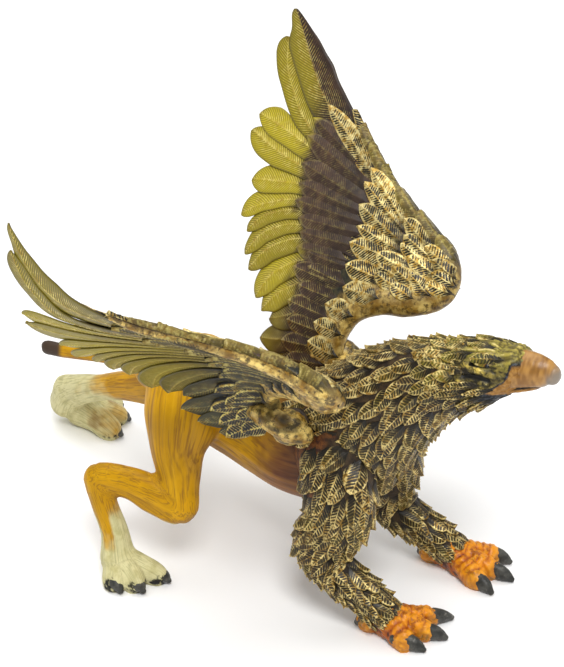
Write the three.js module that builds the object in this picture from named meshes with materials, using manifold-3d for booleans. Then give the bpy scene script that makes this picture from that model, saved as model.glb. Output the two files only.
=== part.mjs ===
// A moulded toy griffin: an eagle's head, neck and fore feet on a lion's body, with raised wings.
// Millimetres, +Z up. The griffin looks along -Y, and its left side is +X.
// It is three pieces: the body, moulded in one with its head, legs and tail, and the two wings,
// which are moulded apart and seat on flat pads on the shoulders.
import * as THREE from "three";
import { mergeVertices } from "three/addons/utils/BufferGeometryUtils.js";
import Module from "manifold-3d";

// Driving sizes, in millimetres.
const HEIGHT = 118; // floor to the wing tips
const WING_SEAT_RADIUS = 4.6; // the round pad on the shoulder, and the wing's foot on it
const WING_CLEAR_RADIUS = 7.4; // the wing's arm keeps clear of the pad out to this radius
const WING_SEAT_RISE = 1.2; // how far the pad stands out of the back
const WING_FOOT_DEPTH = 5.4; // from the pad's own foot out to the wing's arm
const WING_FIT = 0.3; // clearance between the pad and the wing's foot
const SOLE_CUT = 0.6; // how much of each foot's round underside is cut flat
const FEATHER_LIFT = 1.3; // how far a body feather's tip stands off the skin
const SKIN_SINK = 0.2; // how far the skin under a feather's tip lies below the limb's own shape
const GAP_LIFT = 0.45; // how far the gap between two feathers stands off the skin
const BLADE_THICKNESS = 2.2; // a wing feather through its rachis
const COVERT_STEP = 1.1; // how far a row of coverts stands above the feathers below it
const COVERT_WALL = 0.012; // how far the step down slants, as a share of the feather

// Shares of the height, as percentages, give the pose and the proportions.
const SHARE = HEIGHT / 100;

// How finely each round shape is cut.
const LIMB_SIDES = 8;
const DIGIT_SIDES = 6;
const PAD_SIDES = 20;
const STEPS = 2; // rings for each stretch between two stations

const wasm = await Module();
wasm.setup();

const ACROSS = new THREE.Vector3(1, 0, 0);
const UP = new THREE.Vector3(0, 0, 1);

// Stations are [x, y, z, half width, half depth], from the tail end towards the beak.
const TRUNK = [
  [0, 31.5, 37, 3.5, 4],
  [0, 27, 37.5, 6.5, 7.6],
  [0, 20, 36.6, 8, 9.2],
  [0, 12, 34, 7.6, 9.6],
  [0, 4, 32.8, 8.2, 10.6],
  [0, -4, 32.6, 9.8, 12.2],
  [0, -12, 34.6, 10.6, 12.6],
  [0, -18.6, 40.6, 10.4, 12.4],
  [0, -25.2, 48, 9.2, 10.6],
  [0, -30.8, 53, 8.2, 9],
  [0, -36, 56.4, 7.4, 7.8],
  [0, -41, 58.6, 6.9, 6.8],
  [0, -45.5, 60.6, 6.3, 6.3],
  [0, -48.8, 62.2, 5.2, 5.4],
  [0, -50.8, 63.6, 3.4, 3.9],
];
const BEAK = [
  [0, -46.5, 61.2, 3.4, 4.2],
  [0, -50.5, 62.8, 3.1, 4.3],
  [0, -54.5, 64.7, 2.6, 3.5],
  [0, -57.8, 65.4, 1.9, 2.7],
  [0, -59.8, 64.6, 1.1, 1.8],
];
const TAIL = [
  [0, 28, 38.6, 2.4, 2.6],
  [0, 34.6, 38, 1.7, 1.8],
  [0, 44, 36.6, 1.4, 1.5],
  [0, 52, 35.2, 1.5, 1.6],
  [0, 57.4, 34.6, 1.5, 1.7],
];
const FORE_RIGHT = [
  [-6.5, -15, 38, 6.4, 8.4],
  [-9.2, -18.4, 31, 6, 7.8],
  [-11.4, -19.4, 24, 5, 6.4],
  [-12.8, -16.2, 17.4, 4.6, 5.2],
  [-13, -20.6, 12.4, 3.8, 4.2],
  [-12.7, -26, 8.8, 3.3, 3.6],
  [-12.2, -30.4, 5.6, 3.5, 3.3],
];
const FORE_LEFT = [
  [6.5, -16, 38, 6.4, 8.4],
  [9.5, -19, 30, 6, 7.4],
  [11.4, -18.5, 22.5, 5.2, 6.2],
  [12.2, -17.5, 16, 4.6, 5.2],
  [12.8, -22, 11.8, 3.8, 4.1],
  [13.5, -27, 8.8, 3.3, 3.5],
  [14.4, -31.5, 5.6, 3.5, 3.3],
];
const HIND_RIGHT = [
  [-5, 19.6, 39, 6, 8.8],
  [-8.6, 18.6, 34, 6.2, 8.4],
  [-11.4, 17.2, 28.5, 5.3, 6.9],
  [-14, 15.4, 22.8, 4, 5],
  [-15.8, 14.8, 18.4, 3.6, 4.2],
  [-16.9, 20, 19, 3.3, 4.4],
  [-17.9, 26.4, 20.8, 2.9, 3.7],
  [-19.1, 32, 20.6, 2.8, 3.4],
  [-20.2, 30.6, 15.8, 2.7, 3],
  [-21.2, 27.8, 10.4, 2.9, 2.9],
  [-22.4, 26.4, 5.4, 4, 3.6],
];
const HIND_LEFT = [
  [5, 19.5, 38, 6, 8.5],
  [8, 24.5, 33.5, 5.8, 7.6],
  [10.4, 31, 28, 4.8, 6],
  [12, 39, 24, 3.8, 4.4],
  [14, 48, 20.2, 2.9, 3.3],
  [16.4, 57, 15.6, 2.8, 3.3],
  [18.8, 64.2, 11, 3.2, 3.8],
  [21.2, 67.4, 6.4, 4.4, 4],
];

// Toes run from the foot's root [x, y, z] to each knuckle, and the claw goes on to its tip.
// Each row is [knuckle x, y, z, tip x, y, z].
const FEET = {
  foreRight: {
    root: [-12.3, -30, 3.8],
    toes: [
      [-5.2, -37.4, 2, -1.6, -40.9, 1],
      [-9.8, -38.8, 2, -8.2, -42.8, 1],
      [-14.6, -36.8, 1.9, -14, -40.8, 1],
      [-12.6, -27.2, 1.9, -13, -25.4, 1.6],
    ],
    thick: 2.5,
    claw: 1.4,
  },
  foreLeft: {
    root: [14.6, -31, 3.8],
    toes: [
      [20.4, -39, 2, 21.6, -42.4, 1],
      [15.8, -41.2, 2, 16.2, -45.8, 1],
      [11.2, -40, 1.9, 10, -44.1, 1],
      [14.8, -27, 1.9, 15, -24.6, 1.6],
    ],
    thick: 2.5,
    claw: 1.4,
  },
  hindRight: {
    root: [-22.2, 27, 4.4],
    toes: [
      [-26.8, 24.4, 2.1, -27.6, 22.4, 1.7],
      [-25, 20.6, 2.1, -25.4, 18, 1.7],
      [-20.4, 18, 2.1, -19.8, 15.4, 1.7],
    ],
    thick: 2.7,
    claw: 1.9,
  },
  hindLeft: {
    root: [21.6, 65, 4.4],
    toes: [
      [29.6, 61.4, 2.1, 32, 60.4, 1.7],
      [26.2, 57.8, 2.1, 27.8, 55.4, 1.7],
      [20.8, 56, 2.1, 21.4, 53.4, 1.7],
    ],
    thick: 3,
    claw: 1.9,
  },
};
// A toe's stations: its share of the way from root to knuckle, and its half width and half depth
// as shares of the foot's thickness.
const TOE = [
  [0, 1, 1.4],
  [0.55, 0.86, 1.16],
  [1, 0.82, 1.1],
];
// A claw's stations: its share of the way from knuckle to tip, and its radius and how far it is
// raised as shares of the claw's thickness.
const CLAW = [
  [-0.1, 1, 0],
  [0.5, 0.8, 0.5],
  [1, 0.28, 0],
];

// The left wing is laid out flat, in shares of the height back from the shoulder and up the wing.
// The flat layout leans outwards, turns its rear out and is dished.
const WING_ROOT = [13, -7, 45];
const WING_LEAN = THREE.MathUtils.degToRad(54.4);
const WING_TOE = THREE.MathUtils.degToRad(10.7);
// The dish stands off the flat layout by a cubic in a, the share back, and b, the share up.
const WING_DEPTH = 40;
const WING_REACH = 60;
const dish = (a, b) =>
  0.7 +
  7.2 * a +
  21 * b -
  20.3 * a * a -
  19.7 * a * b -
  61 * b * b +
  9.3 * a ** 3 +
  8 * a * a * b +
  24.2 * a * b * b +
  32.8 * b ** 3;
// Arm stations are [back, up, half width, half depth]: shoulder, elbow, wrist, hand, leading edge.
const ARM = [
  [1, -2.4, 3, 3],
  [1.6, 2, 2.5, 2.6],
  [1.6, 6, 2.3, 2.4],
  [-0.4, 10.2, 2.4, 2.4],
  [-4.8, 13.8, 2.8, 2.5],
  [-10.6, 16.4, 3.3, 2.7],
  [-14.2, 20.8, 3.6, 2.9],
  [-12.4, 26, 3.2, 2.6],
  [-6.8, 29.6, 2.6, 2.2],
  [0.8, 33.2, 2, 1.8],
  [9.6, 37.8, 1.6, 1.5],
  [18.4, 43.2, 1.2, 1.1],
];
// Feathers from the leading edge to the shoulder, each from its tip to its quill in the arm.
const FLIGHT = [
  [[40.4, 64.2], [36.4, 59], [27.4, 50], [9.6, 38]],
  [[41.4, 62.6], [36.6, 53.4], [26.4, 44.8], [2, 33.2]],
  [[42.6, 57], [40, 48.5], [29, 39.8], [-3, 31]],
  [[44.9, 40.2], [38.4, 39.2], [25, 36.4], [-6.8, 29.6]],
  [[45.4, 36.4], [37.6, 34.3], [24, 32.2], [-9.6, 27.6]],
  [[40.6, 26.6], [34, 28.2], [22, 29.4], [-12, 25.4]],
  [[39.3, 18.8], [33.7, 23.1], [21, 26.6], [-13.2, 23]],
  [[35.8, 16], [31.5, 21.5], [19.5, 24.4], [-13.8, 20.6]],
  [[33.6, 11.4], [30, 18], [18, 22], [-12.8, 18.4]],
  [[30.9, 8.8], [26.6, 15.6], [15.4, 19.8], [-10, 16.4]],
  [[25.9, 4], [22.6, 11.2], [12.6, 16.4], [-6.8, 14.8]],
  [[23.1, 2], [19.2, 7.6], [11, 12.4], [-4, 13.4]],
  [[20.2, 1.2], [15.6, 3.4], [9, 7.6], [-0.4, 10.2]],
  [[21.4, -3.2], [15.4, -1.6], [8.6, 2.4], [1.4, 6.4]],
  [[18.4, -6.4], [13.6, -5.6], [8, -1.6], [1.8, 2.8]],
  [[14, -8.6], [11, -7.6], [7, -4.6], [1.8, -0.6]],
];
const NOTCH = 0.8; // how far the gap between two tips runs back, as a share of their spacing
const VALLEY = 0.45; // a feather's thickness at its edge, as a share of that at its rachis
// Two rows of coverts lie on the flight feathers, ending at these shares of the way to their tips.
const COVERTS = [0.27, 0.55];
const COVERT_NOTCH = 0.09; // how far the gaps between the coverts' tips run back, as a share too
const TIP_THINNING = 0.55; // how much thinner a feather is at its tip, as a share

// The rims of a row of body feathers, as shares of the row's spacing back from the tips: the gap's
// lip, and the skin under the tip and under the gap.
const LIP_BACK = 0.5;
const UNDER_TIP = 0.4;
const UNDER_GAP = 0.6;
// The feathers of the head, neck and breast, and of the fore legs. Places are counted in rings.
const NECK_COAT = { feathers: 10, rows: 11, first: 9.6, last: 27.4, tipsTo: -1 };
const LEG_COAT = { feathers: 5, rows: 7, first: 2.5, last: 11.4, tipsTo: 1 };

// Rows of numbers smoothed by a Catmull-Rom spline, with the given count of rows to each stretch.
function smooth(rows, count) {
  const out = [];
  for (let i = 0; i + 1 < rows.length; i += 1) {
    const a = rows[Math.max(i - 1, 0)];
    const b = rows[i];
    const c = rows[i + 1];
    const d = rows[Math.min(i + 2, rows.length - 1)];
    for (let s = 0; s < count; s += 1) {
      const t = s / count;
      out.push(
        b.map((_, k) => {
          const slope = (c[k] - a[k]) * t;
          const bend = (2 * a[k] - 5 * b[k] + 4 * c[k] - d[k]) * t * t;
          const twist = (3 * b[k] - a[k] - 3 * c[k] + d[k]) * t * t * t;
          return 0.5 * (2 * b[k] + slope + bend + twist);
        }),
      );
    }
  }
  out.push(rows.at(-1));
  return out;
}

// A row at share t along a list of rows.
function rowAt(rows, t) {
  const place = Math.min(Math.max(t, 0), 1) * (rows.length - 1);
  const i = Math.min(Math.floor(place), rows.length - 2);
  return rows[i].map((v, k) => v + (rows[i + 1][k] - v) * (place - i));
}

function point(row) {
  return new THREE.Vector3(row[0], row[1], row[2]).multiplyScalar(SHARE);
}

// The frame of each ring of a loft: its centre, its two half sizes and its three directions.
function frames(stations, count, side) {
  const rows = smooth(stations, count);
  const at = rows.map(point);
  return rows.map((row, i) => {
    const along = at[Math.min(i + 1, at.length - 1)]
      .clone()
      .sub(at[Math.max(i - 1, 0)])
      .normalize();
    const wide = side.clone().addScaledVector(along, -side.dot(along)).normalize();
    const deep = new THREE.Vector3().crossVectors(along, wide);
    return { at: at[i], along, wide, deep, width: row[3] * SHARE, depth: row[4] * SHARE };
  });
}

function onRing(frame, angle, grow = 0) {
  return frame.at
    .clone()
    .addScaledVector(frame.wide, Math.cos(angle) * (frame.width + grow))
    .addScaledVector(frame.deep, Math.sin(angle) * (frame.depth + grow));
}

// A closed mesh from rings of points, each ring with as many points, closed by the two poles.
function closed(rings, firstPole, lastPole) {
  const sides = rings[0].length;
  const points = [firstPole, ...rings.flat(), lastPole];
  const last = points.length - 1;
  const index = [];
  for (let j = 0; j < sides; j += 1) {
    const k = (j + 1) % sides;
    index.push(0, 1 + k, 1 + j);
    for (let i = 0; i + 1 < rings.length; i += 1) {
      const a = 1 + i * sides + j;
      const b = 1 + i * sides + k;
      index.push(a, b, b + sides, a, b + sides, a + sides);
    }
    const base = 1 + (rings.length - 1) * sides;
    index.push(base + j, base + k, last);
  }
  const made = new THREE.BufferGeometry().setFromPoints(points);
  made.setIndex(index);
  return made;
}

// A solid between two grids of points, closed round its four edges.
function slab(tops, unders) {
  const [rows, columns] = [tops.length, tops[0].length];
  const points = [...tops.flat(), ...unders.flat()];
  const at = (side, r, c) => side * rows * columns + r * columns + c;
  const index = [];
  const quad = (a, b, c, d) => index.push(a, b, c, a, c, d);
  for (let r = 0; r + 1 < rows; r += 1) {
    for (let c = 0; c + 1 < columns; c += 1) {
      quad(at(0, r, c), at(0, r, c + 1), at(0, r + 1, c + 1), at(0, r + 1, c));
      quad(at(1, r, c), at(1, r + 1, c), at(1, r + 1, c + 1), at(1, r, c + 1));
    }
    quad(at(0, r, 0), at(0, r + 1, 0), at(1, r + 1, 0), at(1, r, 0));
    const end = columns - 1;
    quad(at(0, r, end), at(1, r, end), at(1, r + 1, end), at(0, r + 1, end));
  }
  for (let c = 0; c + 1 < columns; c += 1) {
    quad(at(0, 0, c), at(1, 0, c), at(1, 0, c + 1), at(0, 0, c + 1));
    const end = rows - 1;
    quad(at(0, end, c), at(0, end, c + 1), at(1, end, c + 1), at(1, end, c));
  }
  const made = new THREE.BufferGeometry().setFromPoints(points);
  made.setIndex(index);
  return solid(made);
}

// A manifold-3d solid from a closed geometry, turned to face outwards.
function solid(geometry) {
  const bare = geometry.clone();
  bare.deleteAttribute("normal");
  bare.deleteAttribute("uv");
  const merged = mergeVertices(bare, 1e-4);
  const read = (triVerts) =>
    new wasm.Manifold(
      new wasm.Mesh({ numProp: 3, vertProperties: merged.attributes.position.array, triVerts }),
    );
  const faces = new Uint32Array(merged.index.array);
  const made = read(faces);
  return made.volume() < 0 ? read(faces.reverse()) : made;
}

function joined(solids) {
  return solids.reduce((all, next) => all.add(next));
}

// The ring of a frame: its points are moved to the given centre and shrunk by share.
function ringOf(frame, sides, share = 1, shift = 0) {
  const centre = frame.at.clone().addScaledVector(frame.along, shift);
  return Array.from({ length: sides }, (_, j) => {
    const angle = (2 * Math.PI * j) / sides;
    return onRing(frame, angle).sub(frame.at).multiplyScalar(share).add(centre);
  });
}

// A body through rings, with a round end at its first and last frames.
function roundEnded(rings, first, last, sides) {
  const halfway = Math.PI / 4;
  const end = (frame, sign) => {
    const reach = Math.min(frame.width, frame.depth) * sign;
    return {
      ring: ringOf(frame, sides, Math.cos(halfway), reach * Math.sin(halfway)),
      pole: frame.at.clone().addScaledVector(frame.along, reach),
    };
  };
  const start = end(first, -1);
  const finish = end(last, 1);
  return solid(closed([start.ring, ...rings, finish.ring], start.pole, finish.pole));
}

function loft(stations, sides, side = ACROSS, count = STEPS) {
  const list = frames(stations, count, side);
  const rings = list.map((frame) => ringOf(frame, sides));
  return roundEnded(rings, list[0], list.at(-1), sides);
}

// The frame between two rings of a loft, at a place counted in rings.
function frameAt(list, place) {
  const low = Math.min(Math.max(place, 0), list.length - 1.001);
  const i = Math.floor(low);
  const t = low - i;
  const [a, b] = [list[i], list[i + 1]];
  return {
    at: a.at.clone().lerp(b.at, t),
    along: a.along.clone().lerp(b.along, t).normalize(),
    wide: a.wide.clone().lerp(b.wide, t).normalize(),
    deep: a.deep.clone().lerp(b.deep, t).normalize(),
    width: a.width + (b.width - a.width) * t,
    depth: a.depth + (b.depth - a.depth) * t,
  };
}

// A loft that wears rows of overlapping feathers between two of its places. Round each row the
// feathers' tips alternate with the gaps between them, and the next row is turned by half a feather.
// tipsTo is 1 where the tips point towards the loft's last station and -1 where they point back.
function featheredLoft(stations, { feathers, rows, first, last, tipsTo, side = ACROSS }) {
  const list = frames(stations, STEPS, side);
  const sides = feathers * 2;
  const spacing = (last - first) / rows;
  const row = (k, tipBack, gapBack, tipLift, gapLift) => {
    const place = first + spacing * (k + 0.5 + tipsTo * 0.5);
    return Array.from({ length: sides }, (_, j) => {
      const isTip = (j + k) % 2 === 0;
      const back = spacing * tipsTo * (isTip ? tipBack : gapBack);
      return onRing(
        frameAt(list, place - back),
        (2 * Math.PI * j) / sides,
        isTip ? tipLift : gapLift,
      );
    });
  };
  const rings = [];
  list.forEach((frame, i) => {
    if (i < first) rings.push(ringOf(frame, sides));
  });
  for (let k = 0; k < rows; k += 1) {
    const lip = row(k, 0, LIP_BACK, FEATHER_LIFT, GAP_LIFT);
    const under = row(k, UNDER_TIP, UNDER_GAP, -SKIN_SINK, -SKIN_SINK);
    rings.push(...(tipsTo > 0 ? [lip, under] : [under, lip]));
  }
  list.forEach((frame, i) => {
    if (i > last) rings.push(ringOf(frame, sides));
  });
  return roundEnded(rings, list[0], list.at(-1), sides);
}

// A foot: its toes are lofts from one root, and each toe's claw is a tapering loft.
function foot({ root, toes, thick, claw }) {
  const pieces = [];
  const mix = (a, b, t) => a.map((v, k) => v + (b[k] - v) * t);
  toes.forEach((toe) => {
    const knuckle = toe.slice(0, 3);
    const tip = toe.slice(3);
    const bones = TOE.map(([t, wide, deep]) => [...mix(root, knuckle, t), wide * thick, deep * thick]);
    const nail = CLAW.map(([t, round, raised]) => {
      const [x, y, z] = mix(knuckle, tip, t);
      return [x, y, z + raised * claw, round * claw, round * claw];
    });
    pieces.push(loft(bones, DIGIT_SIDES, ACROSS, 1), loft(nail, DIGIT_SIDES - 1, ACROSS, 1));
  });
  return joined(pieces);
}

// Everything below the floor is cut away, so that the feet stand on flat soles.
function cutAtFloor(body) {
  const size = HEIGHT * 2;
  const block = new THREE.BoxGeometry(size, size, size);
  block.translate(0, 0, -size / 2 + SOLE_CUT);
  return body.subtract(solid(block));
}

// Where the wing meets the shoulder: a point on the back and the pad's outward direction.
const SEAT = new THREE.Vector3(9.8, -8.4, 41.6).multiplyScalar(SHARE);
const SEAT_FACE = new THREE.Vector3(0.86, -0.06, 0.5).normalize();

function disc(radius, from, to) {
  const made = new THREE.CylinderGeometry(radius, radius, to - from, PAD_SIDES);
  made.translate(0, (from + to) / 2, 0);
  const own = new THREE.Vector3(0, 1, 0); // a cylinder's own axis
  made.applyQuaternion(new THREE.Quaternion().setFromUnitVectors(own, SEAT_FACE));
  made.translate(SEAT.x, SEAT.y, SEAT.z);
  return solid(made);
}

function mirrored(body) {
  return body.mirror([1, 0, 0]);
}

// The body in one piece.
function figure() {
  const pieces = [
    featheredLoft(TRUNK, NECK_COAT),
    loft(BEAK, LIMB_SIDES),
    loft(TAIL, DIGIT_SIDES),
    featheredLoft(FORE_RIGHT, LEG_COAT),
    featheredLoft(FORE_LEFT, LEG_COAT),
    loft(HIND_RIGHT, LIMB_SIDES),
    loft(HIND_LEFT, LIMB_SIDES),
  ];
  Object.values(FEET).forEach((one) => pieces.push(foot(one)));
  const pad = disc(WING_SEAT_RADIUS, -WING_SEAT_RADIUS, WING_SEAT_RISE);
  pieces.push(pad, mirrored(pad));
  return cutAtFloor(joined(pieces));
}

// The left wing. A place in its flat layout goes onto the dished sheet, raised towards the upper side.
const WING_BACK = new THREE.Vector3(Math.sin(WING_TOE), Math.cos(WING_TOE), 0);
const WING_UPWARD = new THREE.Vector3(Math.cos(WING_TOE), -Math.sin(WING_TOE), 0)
  .multiplyScalar(Math.cos(WING_LEAN))
  .addScaledVector(UP, Math.sin(WING_LEAN));
const WING_UPPER_SIDE = new THREE.Vector3().crossVectors(WING_UPWARD, WING_BACK);

function onWing(back, up, raise = 0) {
  const off = dish(back / WING_DEPTH, up / WING_REACH) * SHARE + raise;
  return point(WING_ROOT)
    .addScaledVector(WING_BACK, back * SHARE)
    .addScaledVector(WING_UPWARD, up * SHARE)
    .addScaledVector(WING_UPPER_SIDE, off);
}

// The fan of feathers side by side. Each has a ridge along its rachis, and the valley between two of
// them ends in a notch between their tips. On the upper side it steps down at each row of coverts,
// whose tips lie on the ridges in one row and over the valleys in the next.
function fan() {
  const mean = (one, other) => one.map((p, k) => p.map((v, m) => (v + other[k][m]) / 2));
  const apart = (p, q) => Math.hypot(p[0] - q[0], p[1] - q[1]);
  const lines = [];
  FLIGHT.forEach((feather, i) => {
    lines.push({ points: feather, reach: 1, full: 1 });
    if (i + 1 === FLIGHT.length) return;
    const next = FLIGHT[i + 1];
    const points = mean(feather, next);
    const length = apart(points[0], points.at(-1));
    lines.push({ points, reach: 1 - (NOTCH * apart(feather[0], next[0])) / length, full: VALLEY });
  });
  const tops = [];
  const unders = [];
  lines.forEach(({ points, reach, full }, i) => {
    const quillToTip = smooth([...points].reverse(), 4);
    const places = [[0, COVERT_STEP]];
    COVERTS.forEach((share, k) => {
      const lip = share - ((i + k) % 2) * COVERT_NOTCH;
      const height = COVERT_STEP * (COVERTS.length - k);
      places.push([lip, height], [lip + COVERT_WALL, height - COVERT_STEP]);
    });
    places.push([(COVERTS.at(-1) + reach) / 2, 0], [reach, 0]);
    const half = places.map(([share]) => (BLADE_THICKNESS / 2) * full * (1 - TIP_THINNING * share ** 4));
    const at = places.map(([share]) => rowAt(quillToTip, share));
    tops.push(places.map(([, raise], r) => onWing(...at[r], raise + half[r])));
    unders.push(at.map((p, r) => onWing(...p, -half[r])));
  });
  return slab(tops, unders);
}

function wing() {
  const arm = ARM.map(([back, up, width, depth]) => [
    ...onWing(back, up).divideScalar(SHARE).toArray(),
    depth,
    width,
  ]);
  const footFrom = WING_SEAT_RISE + WING_FIT;
  const foot = disc(WING_SEAT_RADIUS, footFrom, WING_FOOT_DEPTH);
  const inside = disc(WING_CLEAR_RADIUS, -WING_SEAT_RADIUS, footFrom);
  return joined([loft(arm, LIMB_SIDES, WING_UPPER_SIDE, 1), fan(), foot]).subtract(inside);
}

const griffin = new THREE.Group();

function piece(name, body, colour, roughness) {
  const { vertProperties, triVerts } = body.getMesh();
  const made = new THREE.BufferGeometry();
  made.setAttribute("position", new THREE.BufferAttribute(vertProperties, 3));
  made.setIndex(new THREE.BufferAttribute(triVerts, 1));
  made.computeVertexNormals();
  const material = new THREE.MeshStandardMaterial({ color: colour, roughness, metalness: 0 });
  const mesh = new THREE.Mesh(made, material);
  mesh.name = name;
  griffin.add(mesh);
}

piece("figure", figure(), 0xb98a2c, 0.55);
const left = wing();
piece("wing_left", left, 0x5a4a32, 0.55);
piece("wing_right", mirrored(left), 0x5a4a32, 0.55);

// The origin is on the floor, under the middle of the whole outline.
const box = new THREE.Box3().setFromObject(griffin);
const middle = box.getCenter(new THREE.Vector3());
griffin.children.forEach((mesh) => mesh.position.set(-middle.x, -middle.y, -box.min.z));

export default griffin;
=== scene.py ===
# A moulded, hand-painted toy griffin on a pale floor, dressed around its solid model.
import math

import bpy
import numpy as np
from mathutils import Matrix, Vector
from mathutils.bvhtree import BVHTree


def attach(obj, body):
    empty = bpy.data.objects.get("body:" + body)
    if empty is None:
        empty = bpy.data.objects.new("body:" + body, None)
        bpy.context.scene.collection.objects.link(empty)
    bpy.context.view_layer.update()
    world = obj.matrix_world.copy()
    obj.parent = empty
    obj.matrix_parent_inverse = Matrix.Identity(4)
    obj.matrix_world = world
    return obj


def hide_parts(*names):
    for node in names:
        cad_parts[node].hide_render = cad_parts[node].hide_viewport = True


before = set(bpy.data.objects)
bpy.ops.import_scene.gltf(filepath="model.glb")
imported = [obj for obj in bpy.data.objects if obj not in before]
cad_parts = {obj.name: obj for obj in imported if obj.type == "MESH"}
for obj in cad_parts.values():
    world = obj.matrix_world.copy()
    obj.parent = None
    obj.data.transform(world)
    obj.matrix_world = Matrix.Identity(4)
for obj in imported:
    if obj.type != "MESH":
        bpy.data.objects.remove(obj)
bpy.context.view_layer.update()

# Camera: it looks down on the griffin's right front through a long lens, as in the photograph.
# Places on the toy are shares of its height, as percentages, measured from the floor under it.
HEIGHT = 0.118
SHARE = HEIGHT / 100
GROUND_POINT = np.array([0, -0.00592, -0.0006])


def place(rows):
    """The places, in metres, of rows that start with x, y, z in shares."""
    return np.asarray(rows, float)[..., :3] * SHARE + GROUND_POINT


CAMERA_AZIMUTH, CAMERA_ELEVATION = math.radians(-60), math.radians(31.5)
CAMERA_DISTANCE = 592.6 * SHARE
LENS_MM, SENSOR_MM = 159.9, 36
CAMERA_AIM = Vector(place([0, 0, 55.6]))
away = Vector((
    math.sin(CAMERA_AZIMUTH) * math.cos(CAMERA_ELEVATION),
    -math.cos(CAMERA_AZIMUTH) * math.cos(CAMERA_ELEVATION),
    math.sin(CAMERA_ELEVATION),
))
camera = bpy.data.objects.new("camera", bpy.data.cameras.new("camera"))
camera.data.lens, camera.data.sensor_width = LENS_MM, SENSOR_MM
camera.location = CAMERA_AIM + away * CAMERA_DISTANCE
camera.rotation_mode = "QUATERNION"
camera.rotation_quaternion = (-away).to_track_quat("-Z", "Y")
bpy.context.scene.collection.objects.link(camera)
bpy.context.scene.camera = camera


# Hindquarters: the lion's body, haunches and hind legs. They are moulded soft vinyl, with hair cut
# into the mould. The spray coat is mustard, with cream feet, and a thin brown wash lies in the cuts.
MM = 0.001


def smooth(rows, count):
    """Rows of numbers joined by a Catmull-Rom spline, with count rows to each stretch."""
    rows = np.asarray(rows, float)
    ends = np.vstack([rows[:1], rows, rows[-1:]])
    t = np.arange(count)[:, None] / count
    stretches = [
        0.5 * (2 * b + (c - a) * t + (2 * a - 5 * b + 4 * c - d) * t**2 + (3 * b - a - 3 * c + d) * t**3)
        for a, b, c, d in zip(ends, ends[1:], ends[2:], ends[3:])
    ]
    return np.vstack([*stretches, rows[-1:]])


def unit(vectors):
    """The vectors, each with length 1."""
    return vectors / np.maximum(np.linalg.norm(vectors, axis=-1, keepdims=True), 1e-12)


def loft(stations, sides=32, count=6, side=(1, 0, 0), ends=4):
    """Vertices and faces of a round-ended body through stations [x, y, z, half width, half depth]."""
    rows = smooth(stations, count)
    at = place(rows)
    half = rows[:, 3:5] * SHARE
    along = unit(np.gradient(at, axis=0))
    side = np.asarray(side, float)
    wide = unit(side - along * (along @ side)[:, None])
    deep = np.cross(along, wide)
    turn = np.linspace(0, 2 * math.pi, sides, endpoint=False)
    rings = []

    def ring(i, scale=1.0, shift=0.0):
        centre = at[i] + along[i] * shift
        across = np.outer(np.cos(turn) * half[i, 0], wide[i])
        across = across + np.outer(np.sin(turn) * half[i, 1], deep[i])
        return centre + across * scale

    for i, sign in ((0, -1), (len(at) - 1, 1)):
        reach = min(half[i]) * sign
        angles = np.arange(1, ends) / ends * math.pi / 2
        cap = [ring(i, math.cos(angle), reach * math.sin(angle)) for angle in angles]
        rings.append((cap, at[i] + along[i] * reach))
    stack = [*rings[0][0][::-1], *[ring(i) for i in range(len(at))], *rings[1][0]]
    verts = np.vstack([rings[0][1][None], *stack, rings[1][1][None]])
    faces = []
    for j in range(sides):
        k = (j + 1) % sides
        faces.append((0, 1 + k, 1 + j))
        for low in range(1, 1 + (len(stack) - 1) * sides, sides):
            faces.append((low + j, low + k, low + sides + k, low + sides + j))
        faces.append((low + sides + j, low + sides + k, len(verts) - 1))
    return verts, faces


def joined(parts):
    """Several (vertices, faces) pairs as one."""
    verts, faces, start = [], [], 0
    for part_verts, part_faces in parts:
        verts.append(part_verts)
        faces.extend(tuple(v + start for v in face) for face in part_faces)
        start += len(part_verts)
    return np.vstack(verts), faces


def mesh_object(name, verts, faces, material=None):
    """A smooth-shaded object, linked to the scene."""
    mesh = bpy.data.meshes.new(name)
    mesh.from_pydata(np.asarray(verts).tolist(), [], faces)
    mesh.validate()
    mesh.shade_smooth()
    made = bpy.data.objects.new(name, mesh)
    bpy.context.scene.collection.objects.link(made)
    if material:
        mesh.materials.append(material)
    return made


def surface(thing):
    """Each vertex of a skin: its place, its normal, and its place in shares."""
    found = []
    for source, field in ((thing.data.vertices, "co"), (thing.data.vertex_normals, "vector")):
        flat = np.empty(len(source) * 3, np.float32)
        source.foreach_get(field, flat)
        found.append(flat.reshape(-1, 3).astype(float))
    return *found, (found[0] - GROUND_POINT) / SHARE


def faces_of(thing):
    """A mesh's faces, as tuples of vertex numbers."""
    return [tuple(face.vertices) for face in thing.data.polygons]


def move_points(thing, verts):
    """Moves a skin's vertices to new places, none of them below the floor."""
    verts = np.array(verts)
    verts[:, 2] = np.maximum(verts[:, 2], 0)
    thing.data.vertices.foreach_set("co", np.asarray(verts, np.float32).ravel())
    thing.data.update()


def one_skin(name, parts, voxel, rounds):
    """The lofts fused to one skin of small even faces, with the creases between them softened."""
    thing = mesh_object(name, *joined(parts))
    remesh = thing.modifiers.new("fuse", "REMESH")
    remesh.mode = "VOXEL"
    remesh.voxel_size = voxel
    remesh.use_smooth_shade = True
    soften = thing.modifiers.new("soften", "SMOOTH")
    soften.factor = 0.5
    soften.iterations = rounds
    seen = thing.evaluated_get(bpy.context.evaluated_depsgraph_get())
    done = bpy.data.meshes.new_from_object(seen)
    thing.modifiers.clear()
    thing.data = done
    return thing


# Large odd numbers that turn a lattice point and a seed into a value that looks random.
SCRAMBLE, SEED_SCRAMBLE, LAST_SCRAMBLE = np.array([73856093, 19349663, 83492791]), 2654435761, 1274126177


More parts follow.
